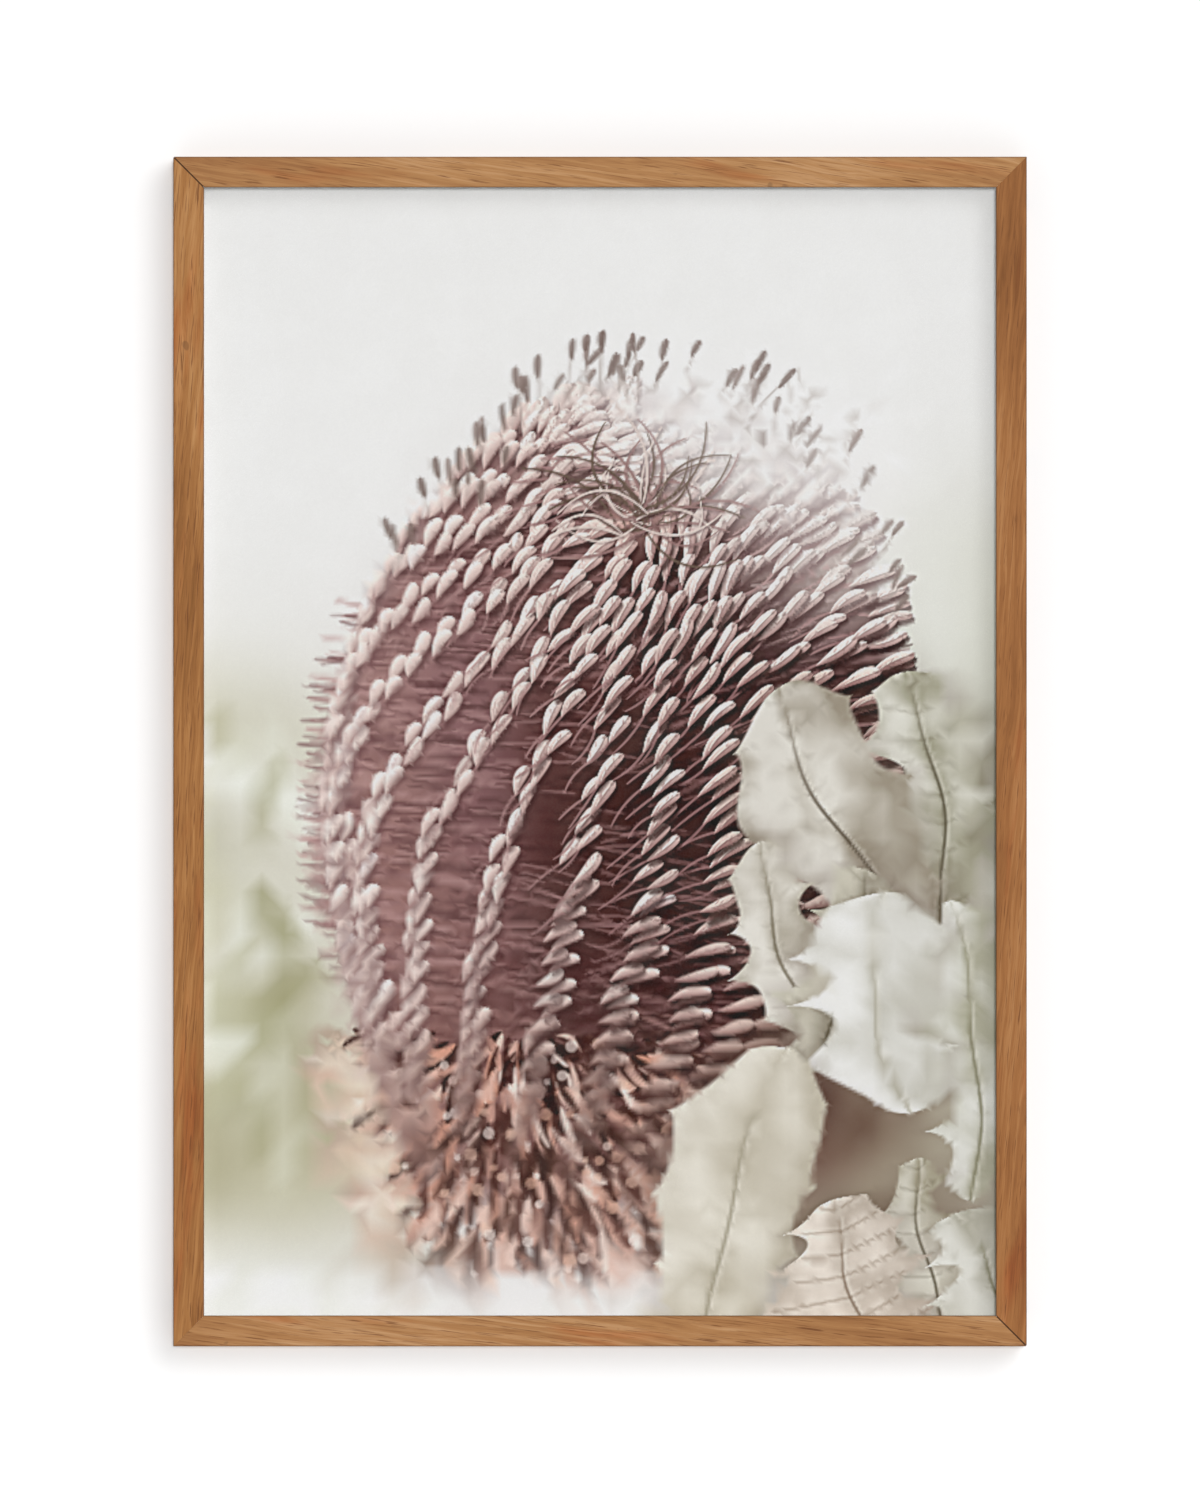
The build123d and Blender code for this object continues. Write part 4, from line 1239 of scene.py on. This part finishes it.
def glue_line(corner_x, corner_z):
    """A plate along a mitre, from near the outer corner to near the sight corner."""
    outer, inner = [
        Vector((corner_x * (high.x - inset), 0.0, corner_z * (high.z - inset)))
        for inset in (GLUE_MARGIN, face_w - GLUE_MARGIN)
    ]
    along = (inner - outer).normalized()
    side = along.cross(Vector((0.0, 1.0, 0.0))) * GLUE_T / 2
    depths = (front_y + GLUE_SETBACK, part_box("glazing_sheet")[0].y)
    shape = bmesh.new()
    ends = (outer - side, inner - side, inner + side, outer + side)
    rings = [[shape.verts.new((p.x, y, p.z)) for p in ends] for y in depths]
    shape.faces.new(rings[0])
    shape.faces.new(list(reversed(rings[1])))
    for i in range(4):
        j = (i + 1) % 4
        shape.faces.new((rings[0][j], rings[0][i], rings[1][i], rings[1][j]))
    bmesh.ops.recalc_face_normals(shape, faces=shape.faces)
    return mesh_of(shape, "glue_line")


for name, corner_x, corner_z in (("top_left", -1, 1), ("bottom_right", 1, -1)):
    new_piece("glue_line_" + name, glue_line(corner_x, corner_z), glue, "frame", [])
    print("glue line:", name)

# %% [markdown]
# ## Zinc-plated steel hardware
# Turn buttons, hanger straps, rings, screws and V-nails are cheap pressed steel with bright zinc plating.
# Zinc shows a faint spangle, a slightly blue tint and rub marks along the way it was handled, and small parts
# tumble against each other in the plating drum, so their edges are rounded. The CAD parts have sharp edges,
# so the turn buttons and straps get a bevelled copy that rides on the same body.

# %% Zinc plate
zinc, tree, shader, _ = material("zinc-plated steel, drum plated", Metallic=1.0)
place = in_millimetres(tree)
spangle = {"Vector": place, "Scale": 0.45}  # crystals of about 2 mm
crystals = add(tree, "ShaderNodeTexVoronoi", spangle).outputs["Color"]
crystal = add(tree, "ShaderNodeRGBToBW", {"Color": crystals}).outputs[0]
rubbed = streaks_of(tree, in_millimetres(tree, (0.0, radians(40), 0.0)), (9.0, 0.35), 4.0, 0.7)
value = add(tree, "ShaderNodeMix", {0: 0.6, 2: crystal, 3: rubbed}).outputs[0]
plate = ((0.25, "A6AAAE"), (0.5, "BDC1C4"), (0.75, "D3D5D6"))
colour = add(tree, "ShaderNodeValToRGB", {"Fac": value}, stops=plate).outputs["Color"]
dull = add(tree, "ShaderNodeTexNoise", {"Vector": place, "Scale": 0.12, "Detail": 3.0}).outputs["Fac"]
dull_share = add(tree, "ShaderNodeMapRange", span(dull, 0.56, 0.74, 0.0, 0.35), **SMOOTH).outputs[0]
white_rust = {0: dull_share, 6: colour, 7: linear("C9C6BE")}
colour = add(tree, "ShaderNodeMix", white_rust, data_type="RGBA").outputs[2]
rough = add(tree, "ShaderNodeMapRange", span(value, 0.2, 0.8, 0.44, 0.28), **SMOOTH).outputs[0]
relief = {"Height": rubbed, "Strength": 0.2, "Distance": 0.04 * MM}
normal = add(tree, "ShaderNodeBump", relief).outputs["Normal"]
plug(tree, shader, Base_Color=colour, Roughness=rough, Normal=normal)
nails = [name for name in frame["nodes"] if name.startswith("v_nails_")]
finish_nodes(zinc, "d_ring_left", "d_ring_right", *nails)
print("zinc on two rings and", len(nails), "sets of V-nails")


# %% Round edges for the pressed parts
TUMBLED = 0.18 * MM  # width of the rounding


def tumbled(node_name):
    """A merged copy of a CAD node's mesh with its sharp edges rounded."""
    shape = bmesh.new()
    shape.from_mesh(frame["nodes"][node_name].data)
    bmesh.ops.remove_doubles(shape, verts=shape.verts, dist=0.002 * MM)
    bmesh.ops.dissolve_limit(shape, angle_limit=radians(1), verts=shape.verts, edges=shape.edges)
    carrier = in_scene(node_name + "_sharp", mesh_of(shape, node_name + "_sharp"))
    rounding = carrier.modifiers.new("tumbled edges", "BEVEL")
    rounding.width = TUMBLED
    rounding.segments = 2
    rounding.limit_method = "ANGLE"
    rounding.angle_limit = radians(50)
    finished = finished_mesh(carrier)
    finished.name = node_name + "_pressed"
    return finished


pressed = [name for name in frame["nodes"] if name.startswith(("turn_button_", "hanger_strap_"))]
pressed = sorted(name for name in pressed if not name.endswith("screws"))
for name in pressed:
    body = name if name.startswith("turn_button_") else "frame"
    new_piece(name + "_pressed", tumbled(name), zinc, body, [name])
print("pressed parts:", len(pressed))

# %% [markdown]
# ## Pan-head screws
# Each turn button hangs on one screw and each strap on two. A real screw is rolled between dies, which
# leaves the thread, and its head is struck, which leaves the pan shape and the cross. One screw is turned as
# a lathe would, from a profile whose thread is a row of ridges, and its cross is cut out. Geometry Nodes then
# put that screw on every hole and turn each by its own angle, because nobody lines up the crosses.

# %% The profile of a screw
SCREW_R = 1.75 * MM
HEAD_R = 3.5 * MM
HEAD_H = 2.2 * MM
THREAD_PITCH = 1.3 * MM
THREAD_DEPTH = 0.35 * MM
TIP_L = 3.0 * MM
TURN_STEPS = 28
CROSS = (3.8 * MM, 1.1 * MM, 1.3 * MM)  # length, width and depth of the cross
HEAD_SIDE = 0.9 * MM  # height of the head's upright side
HEAD_ROUND = 1.3 * MM  # radius above that side
HEAD_ARRIS = 0.15 * MM  # small bevel under the rim
NECK = 0.4 * MM  # plain shank between the thread and the head
STRAP_HOLES = (18.0 * MM, 31.0 * MM)  # below the ring's axis


def screw_profile(length):
    """Radius and height from the tip to the middle of the head's top, where height 0 is under the head."""
    points = [(0.0, -length)]
    steps = round(length / (THREAD_PITCH / 2))
    for i in range(1, steps):
        height = -length + i * length / steps
        taper = min(1.0, (height + length) / TIP_L)
        ridge = THREAD_DEPTH if i % 2 == 0 else 0.0
        points.append(((SCREW_R - ridge) * taper, height))
    points += [(SCREW_R, -NECK), (SCREW_R, 0.0), (HEAD_R - HEAD_ARRIS, 0.0), (HEAD_R, HEAD_ARRIS)]
    points += [(HEAD_R, HEAD_SIDE)]
    for i in range(1, 6):
        angle = i * pi / 2 / 6
        points.append((HEAD_R - HEAD_ROUND * (1 - cos(angle)), HEAD_SIDE + HEAD_ROUND * sin(angle)))
    points += [(HEAD_R - HEAD_ROUND, HEAD_H), (0.0, HEAD_H)]
    return points


# %% The cutter for the cross
def cross_cutter():
    """Two crossed blocks that narrow downwards, with their top just above the head."""
    shape = bmesh.new()
    long, wide, deep = CROSS
    for turn in (0, pi / 2):
        block = bmesh.ops.create_cube(shape, size=1.0)["verts"]
        for vert in block:
            bottom = vert.co.y < 0
            vert.co.x *= long * (0.55 if bottom else 1.08)
            vert.co.z *= wide * (0.7 if bottom else 1.05)
            vert.co.y = HEAD_H - deep if bottom else HEAD_H + 0.2 * MM
        bmesh.ops.rotate(shape, cent=(0, 0, 0), matrix=Matrix.Rotation(turn + pi / 4, 3, "Y"), verts=block)
    return in_scene("cross_cutter", mesh_of(shape, "cross_cutter"))


# %% One screw
def one_screw(length):
    """A screw along Y with its head towards +Y and the underside of the head at y = 0."""
    shape = bmesh.new()
    line = [shape.verts.new((radius, height, 0.0)) for radius, height in screw_profile(length)]
    edges = [shape.edges.new(pair) for pair in zip(line, line[1:])]
    turn = {"cent": (0, 0, 0), "axis": (0, 1, 0), "angle": 2 * pi, "steps": TURN_STEPS}
    bmesh.ops.spin(shape, geom=line + edges, **turn)
    bmesh.ops.remove_doubles(shape, verts=shape.verts, dist=0.005 * MM)
    bmesh.ops.recalc_face_normals(shape, faces=shape.faces)
    blank = in_scene("screw_blank", mesh_of(shape, "screw_blank"))
    cutter = cross_cutter()
    cut = blank.modifiers.new("cross", "BOOLEAN")
    cut.operation = "DIFFERENCE"
    cut.solver = "EXACT"
    cut.use_self = True
    cut.object = cutter
    return finished_mesh(blank, cutter)


# %% Screws on their holes, with Geometry Nodes
def screw_tree():
    """Takes points, and returns real screws on them. Inputs: the screw, its finish and a seed."""
    tree = bpy.data.node_groups.new("rows of screws", "GeometryNodeTree")
    sockets = (
        ("Holes", "INPUT", "NodeSocketGeometry"),
        ("Screw", "INPUT", "NodeSocketObject"),
        ("Finish", "INPUT", "NodeSocketMaterial"),
        ("Seed", "INPUT", "NodeSocketInt"),
        ("Screws", "OUTPUT", "NodeSocketGeometry"),
    )
    for name, in_out, kind in sockets:
        tree.interface.new_socket(name, in_out=in_out, socket_type=kind)
    given = add(tree, "NodeGroupInput").outputs
    holes = add(tree, "GeometryNodeMeshToPoints", {"Mesh": given["Holes"]}).outputs["Points"]
    screw = add(tree, "GeometryNodeObjectInfo", {"Object": given["Screw"]}).outputs["Geometry"]
    turns = {"Min": (0.0, 0.0, 0.0), "Max": (0.0, pi / 2, 0.0), "Seed": given["Seed"]}
    turn = add(tree, "FunctionNodeRandomValue", turns, data_type="FLOAT_VECTOR").outputs["Value"]
    placed = {"Points": holes, "Instance": screw, "Rotation": turn}
    rows = add(tree, "GeometryNodeInstanceOnPoints", placed).outputs["Instances"]
    real = add(tree, "GeometryNodeRealizeInstances", {"Geometry": rows}).outputs["Geometry"]
    coated = {"Geometry": real, "Material": given["Finish"]}
    finished = add(tree, "GeometryNodeSetMaterial", coated).outputs["Geometry"]
    add(tree, "NodeGroupOutput", {"Screws": finished})
    return tree


def rows_of_screws(name, holes, length, seed):
    """One plain mesh of screws with the undersides of their heads on the holes."""
    points = bpy.data.meshes.new(name)
    points.from_pydata(holes, [], [])
    carrier = in_scene(name + "_holes", points)
    pattern = in_scene("one_screw", one_screw(length))
    rows = carrier.modifiers.new("rows of screws", "NODES")
    rows.node_group = screws
    inputs = {item.name: item.identifier for item in screws.interface.items_tree if item.in_out == "INPUT"}
    for key, value in (("Screw", pattern), ("Finish", zinc), ("Seed", seed)):
        rows[inputs[key]] = value
    return finished_mesh(carrier, pattern)


screws = screw_tree()
pivots = {joint["name"]: Vector(joint["pos_m"]) for joint in frame["joints"]}
button_holes = [pivot for name, pivot in pivots.items() if name.startswith("turn_button_")]
strap_holes = []
for side in ("left", "right"):
    ring = pivots[f"d_ring_{side}_swing"]
    strap_holes += [ring - Vector((0.0, 0.0, down)) for down in STRAP_HOLES]
for node_name, holes, seed in (("turn_button_screws", button_holes, 4), ("hanger_screws", strap_holes, 9)):
    tip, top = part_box(node_name)
    seats = [Vector((hole.x, top.y - HEAD_H, hole.z)) for hole in holes]
    mesh = rows_of_screws(node_name + "_rolled", seats, top.y - HEAD_H - tip.y, seed)
    new_piece(node_name + "_rolled", mesh, zinc, "frame", [node_name])
    print(node_name, "faces:", len(mesh.polygons))

# %% [markdown]
# ## Rubber wall bumpers
# Small moulded rubber discs keep the frame off the wall. Rubber is nearly black and matt, it holds dust, and
# it is a little shinier where it has rubbed on plaster.

# %% Moulded rubber
rubber, tree, shader, _ = material("moulded rubber, matt", Specular_IOR_Level=0.35)
place = in_millimetres(tree)
dust = add(tree, "ShaderNodeTexNoise", {"Vector": place, "Scale": 0.35, "Detail": 5.0}).outputs["Fac"]
skin = ((0.35, "232322"), (0.55, "2C2B2A"), (0.75, "474542"))
colour = add(tree, "ShaderNodeValToRGB", {"Fac": dust}, stops=skin).outputs["Color"]
rough = add(tree, "ShaderNodeMapRange", span(dust, 0.4, 0.7, 0.55, 0.8), **SMOOTH).outputs[0]
pebble = add(tree, "ShaderNodeTexNoise", {"Vector": place, "Scale": 2.5, "Detail": 2.0}).outputs["Fac"]
relief = {"Height": pebble, "Strength": 0.3, "Distance": 0.05 * MM}
normal = add(tree, "ShaderNodeBump", relief).outputs["Normal"]
plug(tree, shader, Base_Color=colour, Roughness=rough, Normal=normal)
bumpers = [name for name in frame["nodes"] if name.startswith("bumper_")]
finish_nodes(rubber, *bumpers)
print("rubber on", len(bumpers), "bumpers")

# %% [markdown]
# ## Finish
# The visual model must stay as large as the CAD model.

# %% Bring the scene up to date
bpy.context.view_layer.update()
